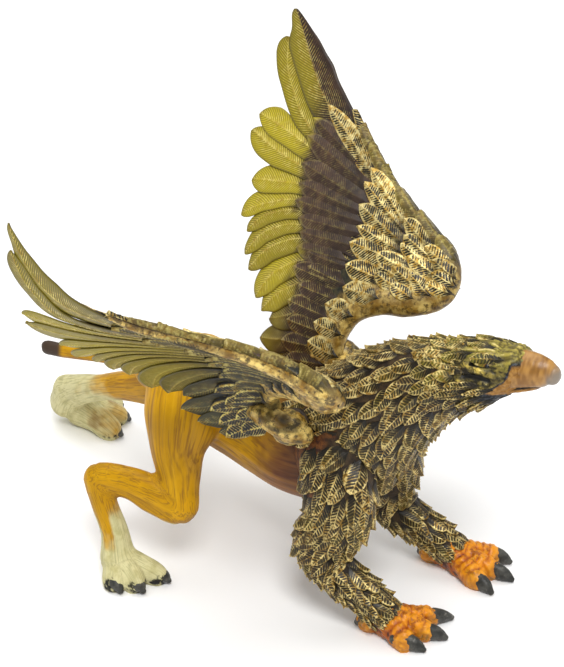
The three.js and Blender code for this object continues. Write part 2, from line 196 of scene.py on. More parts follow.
def noise(points, seed):
    """Smooth random values from 0 to 1 at points, one lattice cell to a unit."""
    cell = np.floor(points).astype(np.int64)
    part = points - cell
    part = part * part * (3 - 2 * part)
    total = np.zeros(len(points))
    for corner in np.ndindex(2, 2, 2):
        mixed = np.bitwise_xor.reduce((cell + corner) * SCRAMBLE, axis=1) ^ (seed * SEED_SCRAMBLE)
        mixed = (mixed ^ (mixed >> 13)) * LAST_SCRAMBLE & 0xFFFFFFFF
        value = ((mixed ^ (mixed >> 16)) & 0xFFFFFF) / 0xFFFFFF
        weight = np.prod(np.where(corner, part, 1 - part), axis=1)
        total += value * weight
    return total


def step(low, high, values):
    """0 below low, 1 above high and a smooth rise between."""
    t = np.clip((values - low) / (high - low), 0, 1)
    return t * t * (3 - 2 * t)


def along_limbs(points, limbs):
    """For each point: how far along its limb it is in metres, and its place off the limb's middle."""
    best = np.full(len(points), np.inf)
    run = np.zeros(len(points))
    off = np.zeros((len(points), 3))
    for number, stations in enumerate(limbs):
        rows = smooth(stations, 3)
        at, thick = place(rows), rows[:, 3:5].mean(1) * SHARE
        span = np.diff(at, axis=0)
        length = np.linalg.norm(span, axis=1)
        apart = points[:, None] - at[:-1]
        reach = (apart * span).sum(2) / length**2
        t = np.clip(reach, 0, 1)
        depth = np.linalg.norm(apart - t[..., None] * span, axis=2)
        depth = depth / (thick[:-1] * (1 - t) + thick[1:] * t)
        nearest = depth.min(1)
        share = (nearest[:, None] / depth) ** 16
        share = share / share.sum(1, keepdims=True)
        nearer = nearest < best
        best[nearer] = nearest[nearer]
        run[nearer] = (share * (np.cumsum(length) - length + t * length)).sum(1)[nearer] + number
        off[nearer] = (share[..., None] * (apart - reach[..., None] * span)).sum(1)[nearer]
    return run, off


def combed(run, off, stretch):
    """Places squeezed along the limbs, so that a pattern laid over them is drawn out along the hair."""
    return off + np.outer(run / stretch, unit(np.array([0.5, 0.6, 0.62])))


def hair(run, off, long, wide, seed):
    """Fine strokes that run along the limbs, from 0 in a cut to 1 on the hair."""
    return np.abs(2 * noise(combed(run, off, long / wide) / wide, seed) - 1)


def swell(points, bumps):
    """The height of the muscles, each [x, y, z, radius, height] in shares."""
    total = np.zeros(len(points))
    for x, y, z, radius, height in bumps:
        gap = np.linalg.norm(points - place([x, y, z]), axis=1) / (radius * SHARE)
        total += height * SHARE * np.exp(-(gap**2) * 1.4)
    return total


def paint_masks(thing, **masks):
    """Says where each coat lies, from 0 to 1 at every vertex, under the mask's name."""
    for name, values in masks.items():
        made = thing.data.attributes.new(name, "FLOAT", "POINT")
        made.data.foreach_set("value", np.asarray(values, np.float32))


def both_sides(rows):
    """Rows that start with x, and their mirror images."""
    return [*rows, *[[-row[0], *row[1:]] for row in rows]]


TRUNK = [
    [0, 31.5, 37, 3.5, 4],
    [0, 27, 37.5, 6.5, 7.6],
    [0, 20, 36.6, 8, 9.2],
    [0, 12, 33.6, 7.6, 10],
    [0, 4, 32.2, 8.2, 11],
    [0, -4, 32, 9.8, 12.6],
    [0, -12, 34.2, 10.6, 13],
    [0, -18.6, 40.6, 10.4, 12.4],
    [0, -25.2, 48, 9.2, 10.6],
    [0, -30.8, 53, 8.2, 9],
    [0, -36, 56.4, 7.4, 7.8],
    [0, -41, 58.6, 6.9, 6.8],
    [0, -45.5, 60.6, 6.3, 6.3],
    [0, -48.8, 62.2, 5.2, 5.4],
    [0, -50.8, 63.6, 3.4, 3.9],
]
TAIL = [
    [0, 28, 38.6, 2.4, 2.6],
    [0, 34.6, 38, 1.7, 1.8],
    [0, 44, 36.6, 1.4, 1.5],
    [0, 52, 35.2, 1.5, 1.6],
    [0, 57.4, 34.6, 1.5, 1.7],
]
HIND_RIGHT = [
    [-5, 19.6, 39, 6, 8.8],
    [-8.6, 18.6, 34, 6.2, 8.4],
    [-11.4, 18, 28.5, 5.3, 6.2],
    [-14, 16.2, 22.8, 4, 4.5],
    [-15.8, 15.6, 17.9, 3.5, 4],
    [-16.9, 20.2, 19.4, 3.3, 4.6],
    [-17.9, 26.2, 21, 2.9, 3.9],
    [-19.1, 32, 20.6, 2.8, 3.4],
    [-20.2, 30.6, 15.8, 2.7, 3],
    [-21.2, 27.8, 10.4, 2.9, 2.9],
    [-22.4, 26.4, 5.4, 4, 3.6],
]
HIND_LEFT = [
    [5, 19.5, 38, 6, 8.5],
    [8, 24.5, 33.5, 5.8, 7.6],
    [10.4, 31, 28, 4.8, 6],
    [12, 39, 24, 3.8, 4.4],
    [14, 48, 20.2, 2.9, 3.3],
    [16.4, 57, 15.6, 2.8, 3.3],
    [18.8, 64.2, 11, 3.2, 3.8],
    [21.2, 67.4, 6.4, 4.4, 4],
]
# Each hind toe runs from the foot's root through its knuckle to where its nail starts.
HIND_TOES = [
    ([-22.2, 27, 4.4], [[-26.8, 24.4, 2.1], [-25, 20.6, 2.1], [-20.4, 18, 2.1]], 2.7),
    ([21.6, 65, 4.4], [[29.6, 61.4, 2.1], [26.2, 57.8, 2.1], [20.8, 56, 2.1]], 3),
]


def toe(root, knuckle, thick, arch=0.6):
    """A toe's stations from the foot's root to its knuckle, arched a little in the middle."""
    root, knuckle = np.array(root), np.array(knuckle)
    shares = ((0, 1, 1.4), (0.3, 0.92, 1.3), (0.6, 0.84, 1.16), (0.86, 0.86, 1.12), (1, 0.8, 1.04))
    rise = np.array([0, 0, arch])
    return [
        [*(root + (knuckle - root) * t + rise * math.sin(t * math.pi)), wide * thick, deep * thick]
        for t, wide, deep in shares
    ]


toes = [toe(root, knuckle, thick) for root, knuckles, thick in HIND_TOES for knuckle in knuckles]
rear_trunk = [row for row in TRUNK if row[1] > -20]
parts = [loft(rear_trunk, 48), loft(TAIL, 20), loft(HIND_RIGHT), loft(HIND_LEFT)]
parts += [loft(row, 20) for row in toes]
hindquarters = one_skin("hindquarters", parts, voxel=0.43 * MM, rounds=11)

# Each muscle or hollow is a place, its radius and its height.
MUSCLES = [
    *both_sides([[7.4, 19, 38, 7, 0.9], [10.5, 13.2, 31, 5, 0.3], [8.2, 4, 36, 5, -0.8]]),
    *both_sides([[9.4, -3, 31, 6, 0.6], [6, 11, 27.5, 5, -0.5], [5.5, 28, 41, 4, 0.6]]),
    [-16.6, 13.2, 17.6, 3, 0.7],
    [-19.6, 34.4, 21.6, 2.6, 0.7],
    [-18.6, 26, 17, 3, -0.5],
    [11.6, 33, 30.5, 6, 0.7],
    [19, 67.8, 12.4, 3, 0.8],
    [17, 55, 18.5, 4, -0.4],
]
HAIR_ROUND = 5 * MM
STROKE_RELIEF, TUFT_RELIEF = 0.12 * MM, 0.26 * MM
at, out, shares = surface(hindquarters)
x, y, z = shares.T
run, off = along_limbs(at, [rear_trunk, TAIL, HIND_RIGHT, HIND_LEFT, *toes])
round_limb = unit(off) * HAIR_ROUND
strokes = hair(run, round_limb, 8 * MM, 0.9 * MM, 3)
tufts = hair(run, round_limb, 14 * MM, 2.2 * MM, 5)
right_paw = step(16, 8, z) * step(12, 16, y) * step(-10, -14, x)
paw = np.maximum(right_paw, step(50, 62, y) * step(8, 12, x))
depth = STROKE_RELIEF * (strokes - 0.45) * (1 - 0.6 * paw) + TUFT_RELIEF * (tufts - 0.45) * (1 - 0.3 * paw)
move_points(hindquarters, at + out * (swell(at, MUSCLES) + depth)[:, None])
combing = hindquarters.data.attributes.new("combed", "FLOAT_VECTOR", "POINT")
combing.data.foreach_set("vector", np.asarray(combed(run, round_limb, 12) / MM, np.float32).ravel())

rough = noise(shares / 7, 9)
blotch = 0.34 * (noise(shares / 3.2, 11) - 0.5) + 0.2 * (noise(shares / 1.1, 12) - 0.5)
ragged = 0.6 * (noise(shares / 0.7, 14) - 0.5) + 0.5 * (noise(shares / 0.35, 15) - 0.5)
outer_streak = step(0.72, 0.92, round_limb @ np.array([-0.99, -0.1, 0]) / HAIR_ROUND)
right_cream = step(17, 13.6, z + 9 * blotch + 5.5 * outer_streak) * step(12, 16, y) * step(-8, -12, x)
left_cream = step(50, 61, y + 16 * blotch + 9 * step(0, -0.8, out[:, 2])) * step(8, 12, x)
off_feet = step(9, 15, z)
below = step(0.1, -0.7, out[:, 2]) * off_feet
front = step(0.2, -0.8, out[:, 1]) * off_feet


def gap_to(points, rows):
    """The distance in metres from each point to the nearest of the places in rows."""
    return np.min(np.linalg.norm(points[:, None] - place(rows)[None], axis=2), axis=1)


HIND_KNUCKLES = [knuckle for _, knuckles, _ in HIND_TOES for knuckle in knuckles]
TAIL_TIP = [0, 57.5, 34.6]
SMUDGES = [[25.6, 59.6, 4.4], [20.6, 58.4, 3.8], [-20.4, 32.4, 17.6]]
paint_masks(
    hindquarters,
    hair=np.clip(0.55 * strokes + 0.45 * tufts, 0, 1) * 1.4,
    cream=np.maximum(right_cream, left_cream),
    russet=step(5, -5, y + 9 * blotch + 0.25 * (z - 30)) * step(50, 42, z),
    dark=step(-3, -15, y - 0.5 * (z - 27) + 8 * blotch),
    # Purple-brown wash in random patches, and painted shade on undersides and forward-facing sides.
    wash=np.clip(0.55 * below + 0.2 * front + 0.45 * (rough - 0.5), 0, 1) * (1 - paw),
    nail=step(2.3, 2.1, gap_to(at, HIND_KNUCKLES) / SHARE + ragged),
    smudge=step(2.5, 1.4, gap_to(at, SMUDGES) / SHARE + 5 * blotch) * paw,
    tuft=step(5.2, 3.4, gap_to(at, [TAIL_TIP]) / SHARE + 2 * blotch),
)


def linear(text):
    """A hex sRGB colour as linear red, green, blue and alpha."""
    values = [int(text[i : i + 2], 16) / 255 for i in (1, 3, 5)]
    return (*[v / 12.92 if v <= 0.04045 else ((v + 0.055) / 1.055) ** 2.4 for v in values], 1)


def add(tree, kind, inputs=(), **settings):
    """Adds a node with its settings. Each input is given a value, or linked if it is a socket."""
    made = tree.nodes.new("ShaderNode" + kind)
    for name, value in settings.items():
        setattr(made, name, value)
    for name, value in dict(inputs).items():
        if isinstance(value, bpy.types.NodeSocket):
            tree.links.new(value, made.inputs[name])
        else:
            made.inputs[name].default_value = value
    return made


def new_material(name):
    """An empty material and its node tree, with the places in millimetres."""
    made = bpy.data.materials.new(name)
    made.use_nodes = True
    tree = made.node_tree
    tree.nodes.clear()
    spot = add(tree, "TexCoord").outputs["Object"]
    add(tree, "VectorMath", {0: spot, 1: (1000, 1000, 1000)}, operation="MULTIPLY", name="millimetres")
    return made, tree


def spread(tree, where, amount=1, low=None, high=None):
    """How much of a coat lies at each point: amount, times a rise from 0 at low to 1 at high.

    It follows a mask by its name, a grain (size in mm, detail, roughness, places) or a socket.
    """
    if isinstance(where, str):
        where = add(tree, "Attribute", attribute_name=where).outputs["Fac"]
    elif isinstance(where, tuple):
        usual = (None, 2, 0.6, tree.nodes["millimetres"].outputs[0])
        size, detail, rough, places = where + usual[len(where) :]
        inputs = {"Vector": places, "Scale": 1 / size, "Detail": detail, "Roughness": rough}
        where = add(tree, "TexNoise", inputs).outputs["Fac"]
    if low is not None:
        inputs = {0: where, 1: low, 2: high}
        where = add(tree, "MapRange", inputs, interpolation_type="SMOOTHSTEP").outputs[0]
    if amount != 1:
        where = add(tree, "Math", {0: where, 1: amount}, operation="MULTIPLY").outputs[0]
    return where


def painted(tree, ground, *coats):
    """A ground colour under coats, each a colour and then what spread() takes. Hex is turned to linear."""
    for colour, *lie in coats:
        under, over = [linear(c) if isinstance(c, str) else c for c in (ground, colour)]
        ground = add(tree, "Mix", {0: spread(tree, *lie), 6: under, 7: over}, data_type="RGBA").outputs[2]
    return ground


def finish_paint(tree, colour, roughness, grain, bump_mm, coat=0.0, gloss=0.22):
    """The shader of painted vinyl: dielectric, with the paint's fine bumps."""
    inputs = {"Strength": 1.0, "Distance": bump_mm * MM, "Height": spread(tree, grain)}
    bump = add(tree, "Bump", inputs).outputs[0]
    inputs = {"Base Color": colour, "Roughness": roughness, "Normal": bump, "IOR": 1.49}
    inputs |= {"Specular IOR Level": gloss, "Coat Weight": coat, "Coat Roughness": 0.35}
    shader = add(tree, "BsdfPrincipled", inputs)
    add(tree, "OutputMaterial", {"Surface": shader.outputs[0]})
    return shader


# Sprayed mustard enamel over vinyl: satin, a little uneven, with thin brown lying in the hair lines.
mustard_vinyl, tree = new_material("mustard enamel on vinyl")
lie = add(tree, "Attribute", attribute_name="combed").outputs["Vector"]
lines = spread(tree, (0.42, 2, 0.6, lie))
locks = spread(tree, (1.5, 3, 0.6, lie))
washed_and_shaded = add(tree, "Math", {0: spread(tree, "wash"), 1: locks}, operation="ADD").outputs[0]
purple_wash_and_shade = painted(tree, "#6E4A34", ("#9A7038", lines, 1, 0.4, 0.6))
russet = painted(tree, "#5C3018", ("#94601E", locks, 1, 0.35, 0.65))
plum = painted(tree, "#34221E", ("#5E3C28", locks, 1, 0.35, 0.65))
cream = painted(tree, "#CEC796", ("#B7AF79", (2.4, 3), 1, 0.4, 0.75))
# The thin brown wash that lies in the hair lines and cuts.
wash = painted(tree, "#6B4320", ("#8F8A5C", "cream"))
coat = painted(
    tree,
    "#C8940A",
    ("#B48409", (9, 3), 1, 0.35, 0.7),
    ("#D8A818", locks, 0.5, 0.5, 0.72),
    ("#93620F", locks, 0.45, 0.42, 0.28),
    # Purple-brown over the wash mask: a wash in random patches, and painted shade on the undersides and
    # forward-facing sides.
    (purple_wash_and_shade, washed_and_shaded, 0.62, 0.6, 1.15),
    (russet, "russet"),
    (plum, "dark", 0.85),
    (cream, "cream"),
    (wash, lines, 0.5, 0.5, 0.36),
    (wash, "hair", 0.35, 0.3, 0),
    ("#75501F", "smudge", 0.85),
    ("#20201D", "nail"),
    ("#43362C", "tuft"),
)
finish_paint(tree, coat, 0.42, lines, 0.1, gloss=0.14)
hindquarters.data.materials.append(mustard_vinyl)
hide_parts("figure")
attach(hindquarters, "root")


# Forequarters: the eagle's neck, breast and legs, moulded in one with the body. This skin is what
# shows between the feathers, and it keeps the near-black paint that lies under the gold.
FORE_RIGHT = [
    [-6.5, -15, 38, 6.4, 8.4],
    [-9.2, -18.4, 31, 6, 7.8],
    [-11.4, -19.4, 24, 5, 6.4],
    [-12.8, -16.2, 17.4, 4.6, 5.2],
    [-13, -20.6, 12.4, 3.8, 4.2],
    [-12.7, -26, 8.8, 3.3, 3.6],
    [-12.2, -30.4, 5.6, 3.5, 3.3],
]
FORE_LEFT = [
    [6.5, -16, 38, 6.4, 8.4],
    [9.5, -19, 30, 6, 7.4],
    [11.4, -18.5, 22.5, 5.2, 6.2],
    [12.2, -17.5, 16, 4.6, 5.2],
    [12.8, -22, 11.8, 3.8, 4.1],
    [13.5, -27, 8.8, 3.3, 3.5],
    [14.4, -31.5, 5.6, 3.5, 3.3],
]
front_trunk = [row for row in TRUNK if -43 < row[1] < -5]
parts = [loft(front_trunk, 40), loft(FORE_RIGHT), loft(FORE_LEFT)]
forequarters = one_skin("forequarters", parts, voxel=0.7 * MM, rounds=8)
_, _, shares = surface(forequarters)
x, y, z = shares.T
sprayed = y + 6 * (noise(shares / 1.6, 17) - 0.5) - 0.1 * (z - 32)
paint_masks(forequarters, russet=step(-20, -15, sprayed) * step(50, 42, z) * step(19, 25, z))
# Near-black enamel: satin, and warm where russet spray reached it. It reads as deep gaps.
under_paint, tree = new_material("near-black enamel on vinyl")
rust = painted(tree, "#3A2018", ("#74461F", (1.3, 4), 1, 0.35, 0.65))
tone = painted(tree, "#241B14", ("#43341F", (2, 3), 1, 0.35, 0.7), (rust, "russet"))
finish_paint(tree, tone, 0.5, (0.5,), 0.12)
forequarters.data.materials.append(under_paint)
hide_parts("figure")
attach(forequarters, "root")


# Body feathers: leaf-shaped, in the same moulding, each with a quill and barbs. Gold is brushed dry
# over the near-black, so it stays on the quills, barbs and rims and leaves the cuts dark. Each root is
# also left dark, as painted shade under the feather that lies over it.
VANE = np.array([-1.13, -1, -0.88, -0.7, -0.4, -0.12, 0, 0.12, 0.4, 0.7, 0.88, 1, 1.13])
BARB_PITCH = 0.76 * MM
BARB_RELIEF = 0.1 * MM
BARB_SWEEP = 1.15
TIP_SHARE = 0.996


def leaf_width(s):
    """A feather's width at each share of its length, as a share of its widest."""
    s = np.minimum(s, TIP_SHARE)
    return (0.5 + 0.5 * step(0, 0.4, s)) * np.clip(1 - np.clip((s - 0.45) / 0.55, 0, 1) ** 2.3, 0, 1) ** 0.6


def grid_faces(rows, columns, start=0, flip=False):
    """The faces between rows and columns of vertices, the first of which has the number start."""
    r, c = np.meshgrid(np.arange(rows - 1), np.arange(columns - 1), indexing="ij")
    a = start + (r * columns + c).ravel()
    quads = np.stack([a, a + 1, a + columns + 1, a + columns], axis=1)
    return [tuple(q) for q in (quads[:, ::-1] if flip else quads).tolist()]


def leaf(length, half, deep, crown=0.3, relief=BARB_RELIEF):
    """A feather's grid: share along it, place across it, rise of its relief, crest and skirt."""
    barbs = max(int(length / BARB_PITCH), 5)
    t = np.append(np.arange(2 * barbs + 1) / (2 * barbs), 1)[:, None]
    v = VANE[None, :]
    inner = np.minimum(np.abs(v), 1)
    s = np.clip(t + inner * half * BARB_SWEEP / length * (1 - t) ** 0.6, 0, TIP_SHARE)
    s[-1] += 0.13 * half / length
    across = v * half * leaf_width(s)
    cut = deep * (1 - np.arange(len(t)) % 2)[:, None]
    middle = np.exp(-((v / 0.07) ** 2))
    rim = np.maximum(np.exp(-(((inner - 0.93) / 0.12) ** 2)), step(0.9, 0.96, s))
    rise = relief * (deep - 2 * cut) * (1 - middle) * (1 - rim) + relief * (1.9 * middle + 1.8 * rim)
    rise = rise - crown * half * inner**2.4
    crest = np.clip((0.86 - 0.8 * cut) * (1 - middle) * (1 - rim) + middle + 1.05 * rim, 0, 1)
    skirt = (np.abs(v) > 1) | (np.arange(len(t)) == len(t) - 1)[:, None]
    return s, across, rise, np.where(skirt, 0, crest), skirt


def sheet_of(name, pieces, material):
    """One mesh from many feathers, each (vertices, faces, masks by name)."""
    thing = mesh_object(name, *joined([piece[:2] for piece in pieces]), material)
    paint_masks(thing, **{key: np.concatenate([piece[2][key] for piece in pieces]) for key in pieces[0][2]})
    return thing


def draped(skin, root, heading, length, half, lift, masks, deep):
    """A feather laid on the skin from its root, its tip raised by lift."""
    _, normal, _, _ = skin.find_nearest(Vector(root))
    normal = np.array(normal)
    heading = unit(heading - normal * (heading @ normal))
    sideways = np.cross(normal, heading)
    s, across, rise, crest, skirt = leaf(length, half, deep)
    rise = rise + 0.1 * MM + lift * s**1.2
    rise = np.where(skirt, -0.3 * MM + 0.35 * lift * s**3, rise)
    flat = root + (s * length)[..., None] * heading + across[..., None] * sideways
    flat = flat.reshape(-1, 3)
    near = [skin.find_nearest(Vector(p))[:2] for p in flat]
    laid = np.array([p[0] for p in near]) + np.array([p[1] for p in near]) * rise.reshape(-1, 1)
    values = {key: np.full(len(flat), value) for key, value in masks.items()}
    return laid, grid_faces(*s.shape), {**values, "crest": crest.ravel(), "tip": s.ravel()}


def flow_over(points, limbs):
    """The way that feathers lie at each point: along each limb, blended where limbs join."""
    total = 0
    for stations, sign in limbs:
        rows = smooth(stations, 4)
        at = place(rows)
        depth = np.linalg.norm(points[:, None] - at[None], axis=2) / (rows[:, 3:5].mean(1) * SHARE)
        pick = depth.argmin(1)
        ways = unit(np.gradient(at, axis=0)) * sign
        total = total + depth.min(1)[:, None] ** -7 * ways[pick]
    return unit(total)


# No feather is grown inside this oval round another's root, as shares of its length and half width.
OVAL_RUN, OVAL_OFF = 0.43, 1.5


def scattered(points, ways, halves, slender, allowed, dice):
    """Places whose feathers overlap evenly: none starts inside the oval that belongs to another."""
    chosen = []
    bare = np.array(allowed)

    def along_and_off(gap, way):
        run = (gap * way).sum(-1)
        return run, np.maximum((gap**2).sum(-1) - run**2, 0) ** 0.5

    def grow(i):
        chosen.append(i)
        run, off = along_and_off(points - points[i], ways[i])
        share = run / (slender * halves[i])
        bare[(share > -0.12) & (share < 1.02) & (off < 1.12 * halves[i])] = False

    for i in dice.permutation(np.flatnonzero(allowed)):
        run, off = along_and_off(points[chosen] - points[i], ways[i])
        oval = (run / (OVAL_RUN * slender * halves[i])) ** 2 + (off / (OVAL_OFF * halves[i])) ** 2
        if not len(oval) or oval.min() > 1:
            grow(i)
    for i in dice.permutation(np.flatnonzero(allowed)):
        if bare[i]:
            root = points[i] - ways[i] * 0.4 * slender * halves[i]
            grow(int(np.linalg.norm(points - root, axis=1).argmin()))
            bare[i] = False
    return chosen


def skin_of(*things):
    """The surface of one or more meshes, to lay feathers on."""
    verts, faces = joined([(surface(one)[0], faces_of(one)) for one in things])
    return BVHTree.FromPolygons(verts.tolist(), faces)


# Drybrushed enamel: the gold has metal flakes, so quills, barbs and rims glint over matt dark cuts.
def feather_paint(
    name,
    ground,
    brush,
    leafy=("#858416", "#C4B720"),
    dark="#120E09",
    lean=0.0,
    cut=0.9,
    patchy=0.4,
    root=(0.2, 0.6),
):
    """Ground colours in the cuts, brush colours on what stands up, and leafy ones where it is olive.

    cut is how dark the cuts and the painted shade at each feather's root are, lean how far the gold runs
    down from the ridges, patchy how worn it is, and root the shares of a feather's length over which the
    gold starts: below them the root is left dark as painted shade, where the feather above lies over it.
    """
    made, tree = new_material(name)
    crest = spread(tree, "crest")
    olive = painted(tree, leafy[0], (leafy[1], "tone"))
    metal = painted(tree, brush[0], (brush[1], (1.3, 3, 0.7), 1, 0.38, 0.6))
    base = painted(
        tree,
        ground[0],
        (ground[1], (2.2, 3), 1, 0.3, 0.7),
        (olive, "olive"),
        ("#1F2A2C", "navy", 0.85),
        (dark, crest, cut, 0.8, 0.2),
        # Dark at each feather's root: painted shadow of the feather that lies over it.
        (dark, "tip", cut, 0.8, 0.3),
    )
    worn = spread(tree, (2.1, 5, 0.75), 1, 0.36, 0.64)
    lit = add(tree, "Math", {0: worn, 1: patchy, 2: crest}, operation="MULTIPLY_ADD").outputs[0]
    # The gold fades towards the root, so the root stays dark as painted shade under the feather above.
    gold = spread(tree, "gold", spread(tree, "tip", 1, *root))
    amount = spread(tree, lit, gold, 0.84 - lean, 1.2 - lean)
    shader = finish_paint(tree, painted(tree, base, (metal, amount)), 0.4, (0.45, 3), 0.03, gloss=0.3)
    tree.links.new(spread(tree, amount, 0.4), shader.inputs["Metallic"])
    return made


body_gold = feather_paint(
    "gold brushed over near-black enamel", ("#2A2013", "#54401F"), ("#96722E", "#EBD48C"), lean=0.04
)
dice = np.random.default_rng(11)
body_skin = skin_of(forequarters, hindquarters)
ground, facing, shares = surface(forequarters)
x, y, z = shares.T
flow = flow_over(ground, [(TRUNK, -1), (FORE_RIGHT, 1), (FORE_LEFT, 1)])
breast = step(60, 50, z) * step(-18, -30, y) * step(24, 34, z)
elbow = step(19, 28, z) * step(-28, -20, y)
flow = flow + breast[:, None] * np.array([0, 0, -0.9]) + elbow[:, None] * np.array([0, 0.6, 0])
flow = unit(flow - facing * (flow * facing).sum(1)[:, None])
on_trunk = np.interp(y, [-43, -38, -30], [1.3, 1.65, 1.92])
on_limb = np.interp(z, [5, 12, 22, 30], [1.25, 1.55, 1.8, 1.92])
halves = MM * np.where(z > 30, on_trunk, on_limb)
on_neck = (y < -13 + 0.8 * np.sin(z) + 1.3 * np.maximum(z - 42, 0)) & (z > 27) & (y > -42.5)
on_legs = (z <= 27) & (z > 5.5) & (np.abs(x) > 4) & (y < -10 - 3.5 * step(18, 24, z))
for name, allowed, slender in (("neck_feathers", on_neck, 4.1), ("leg_feathers", on_legs, 4.0)):
    grown = []
    for i in scattered(ground, flow, halves, slender, allowed, dice):
        way = flow[i] + dice.uniform(-0.3, 0.3) * np.cross(facing[i], flow[i])
        half = halves[i] * dice.uniform(0.9, 1.2)
        length = halves[i] * slender * dice.uniform(0.88, 1.15)
        masks = {"tone": dice.uniform(0, 1), "gold": dice.uniform(0.6, 1), "olive": dice.uniform(0, 0.12)}
        masks["olive"] += 0.3 * float(step(-32, -42, y[i])) * float(step(58, 63, z[i]))
        lift = dice.uniform(0.9, 2.1) * halves[i] / 2
        grown.append(draped(body_skin, ground[i], way, length, half, lift, masks, dice.uniform(0.45, 1)))
    feathers = sheet_of(name, grown, body_gold)
    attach(feathers, "root")

# Head: one skin with the neck, cut with fine feather strokes and brushed olive on the crown. A slit for
# the eye, the hollow behind the gape and the bushy ridge between them are cut into it.
HEAD = [
    [0, -36, 56.4, 7.2, 7.6],
    [0, -41, 58.8, 6.9, 6.9],
    [0, -45.5, 61.4, 6.3, 6.3],
    [0, -48.6, 63, 5.6, 5.7],
    [0, -50.6, 64.3, 5, 4.6],
    [0, -51.9, 65.3, 4.2, 3.2],
]
head = one_skin("head", [loft(HEAD, 48)], voxel=0.3 * MM, rounds=3)
# Each line is drawn on the near side and mirrored: its points, its half width and its height.
HEAD_LINES = [
    ("slit", [[4.9, -44.5, 65.1], [4.5, -47.7, 65.2], [3.4, -50.4, 65.3]], 0.55, -0.75),
    ("ridge", [[5.6, -41.5, 65], [5.2, -45.4, 64.5], [5, -48.6, 63.8], [4, -51, 62.9]], 0.75, 0.7),
    ("hollow", [[6.2, -43.4, 62.9], [5.9, -45.8, 63], [5.4, -48.4, 62.7]], 0.7, -0.7),
    ("ridge", [[6.4, -42.6, 61.2], [5.8, -46, 61], [5.2, -49.2, 61.2]], 0.6, 0.4),
]
at, out, shares = surface(head)
run, off = along_limbs(at, [HEAD])
x, y, z = shares.T
folded = np.stack([np.abs(x), y, z], 1)
rise = np.zeros(len(at))
cuts = {"slit": 0 * rise, "ridge": 0 * rise, "hollow": 0 * rise}
for kind, line, width, height in HEAD_LINES:
    gap = np.linalg.norm(folded[:, None] - smooth(line, 6)[None], axis=2).min(1)
    near = np.exp(-((gap / width) ** 2))
    rise += height * near
    cuts[kind] = np.maximum(cuts[kind], near)
strokes = hair(run, off, 3.4 * MM, 0.75 * MM, 61)
fine = hair(run, off, 1.8 * MM, 0.42 * MM, 62)
barbs = hair(run, off, 0.5 * MM, 0.9 * MM, 63)
rise += 0.34 * (strokes - 0.4) + 0.16 * (fine - 0.4) + 0.3 * cuts["ridge"] * (barbs - 0.5)
move_points(head, at + out * rise[:, None] * SHARE)
beak_edge = np.interp(z, [59.2, 60.3, 61.5, 62.8, 64, 66], [-47.6, -48.6, -50, -51.3, -52, -52.3])
ahead = y - beak_edge + 0.4 * (strokes - 0.5)
# A dark band along the beak's edge, wider low down, and a patch under the gape: painted shadow where the
# beak meets the head.
beak_edge_shadow_width = 0.3 + 1.3 * step(63, 60, z)
band = np.maximum(step(beak_edge_shadow_width, 0.6 * beak_edge_shadow_width, ahead), step(59.6, 58.6, z) * step(-45, -47, y))
paint_masks(
    head,
    crest=np.clip(0.6 * strokes + 0.4 * fine, 0, 1) * 1.3,
    ridge=np.clip(cuts["ridge"] * (0.5 + barbs) + step(65.8, 66.6, z) * 0.3, 0, 1),
    # The eye slits and the hollows behind the gape are painted near-black: painted shade in these recesses.
    dark=np.clip(1.5 * cuts["slit"] + 1.1 * cuts["hollow"], 0, 1),
    band=band * step(67.6, 66.6, z),
    gape=step(0, -0.15, y - beak_edge) * step(59.2, 59.5, z) * step(66.6, 66, z),
    mottle=0.25 + 0.6 * step(66.8, 64.6, z),
    olive=step(63.6, 67.2, z + 2 * (strokes - 0.5)) * 0.85 + 0.1,
)
# Olive and gold enamel, rubbed on: satin, mossy on the crown and flecked with black on the cheeks. A
# blue-black band along the beak's edge and under the gape is painted shadow where the beak meets the
# head, and bare tan lies in the corner of the gape.
olive_paint, tree = new_material("olive enamel brushed with gold on vinyl")
crown = painted(tree, "#76702C", ("#A59545", (1, 4, 0.7), 1, 0.36, 0.62))
beak_edge_shadow_paint = painted(tree, "#14161A", ("#39424C", (0.9, 4), 1, 0.5, 0.7))
gape = painted(tree, "#80561F", ("#A67A3C", (1.2, 3), 1, 0.35, 0.7))
tone = painted(
    tree,
    "#3A351F",
    ("#6B5C2C", (1.2, 4), 1, 0.35, 0.65),
    (crown, "olive"),
    ("#1F1C10", "crest", 0.9, 0.55, 0.1),
    ("#CDB352", "ridge", 1, 0.15, 0.9),
    ("#E6D288", "crest", spread(tree, (1.4, 4), 1, 0.42, 0.6), 0.55, 1),
    ("#17160F", (1.3, 4, 0.7), spread(tree, "mottle"), 0.49, 0.6),
    # Near-black in the eye slits and hollows: painted shade in the recesses.
    ("#14130F", "dark", 1, 0.25, 0.75),
    (beak_edge_shadow_paint, "band"),
    (gape, "gape"),
)
finish_paint(tree, tone, 0.4, (0.4,), 0.06)
head.data.materials.append(olive_paint)
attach(head, "root")

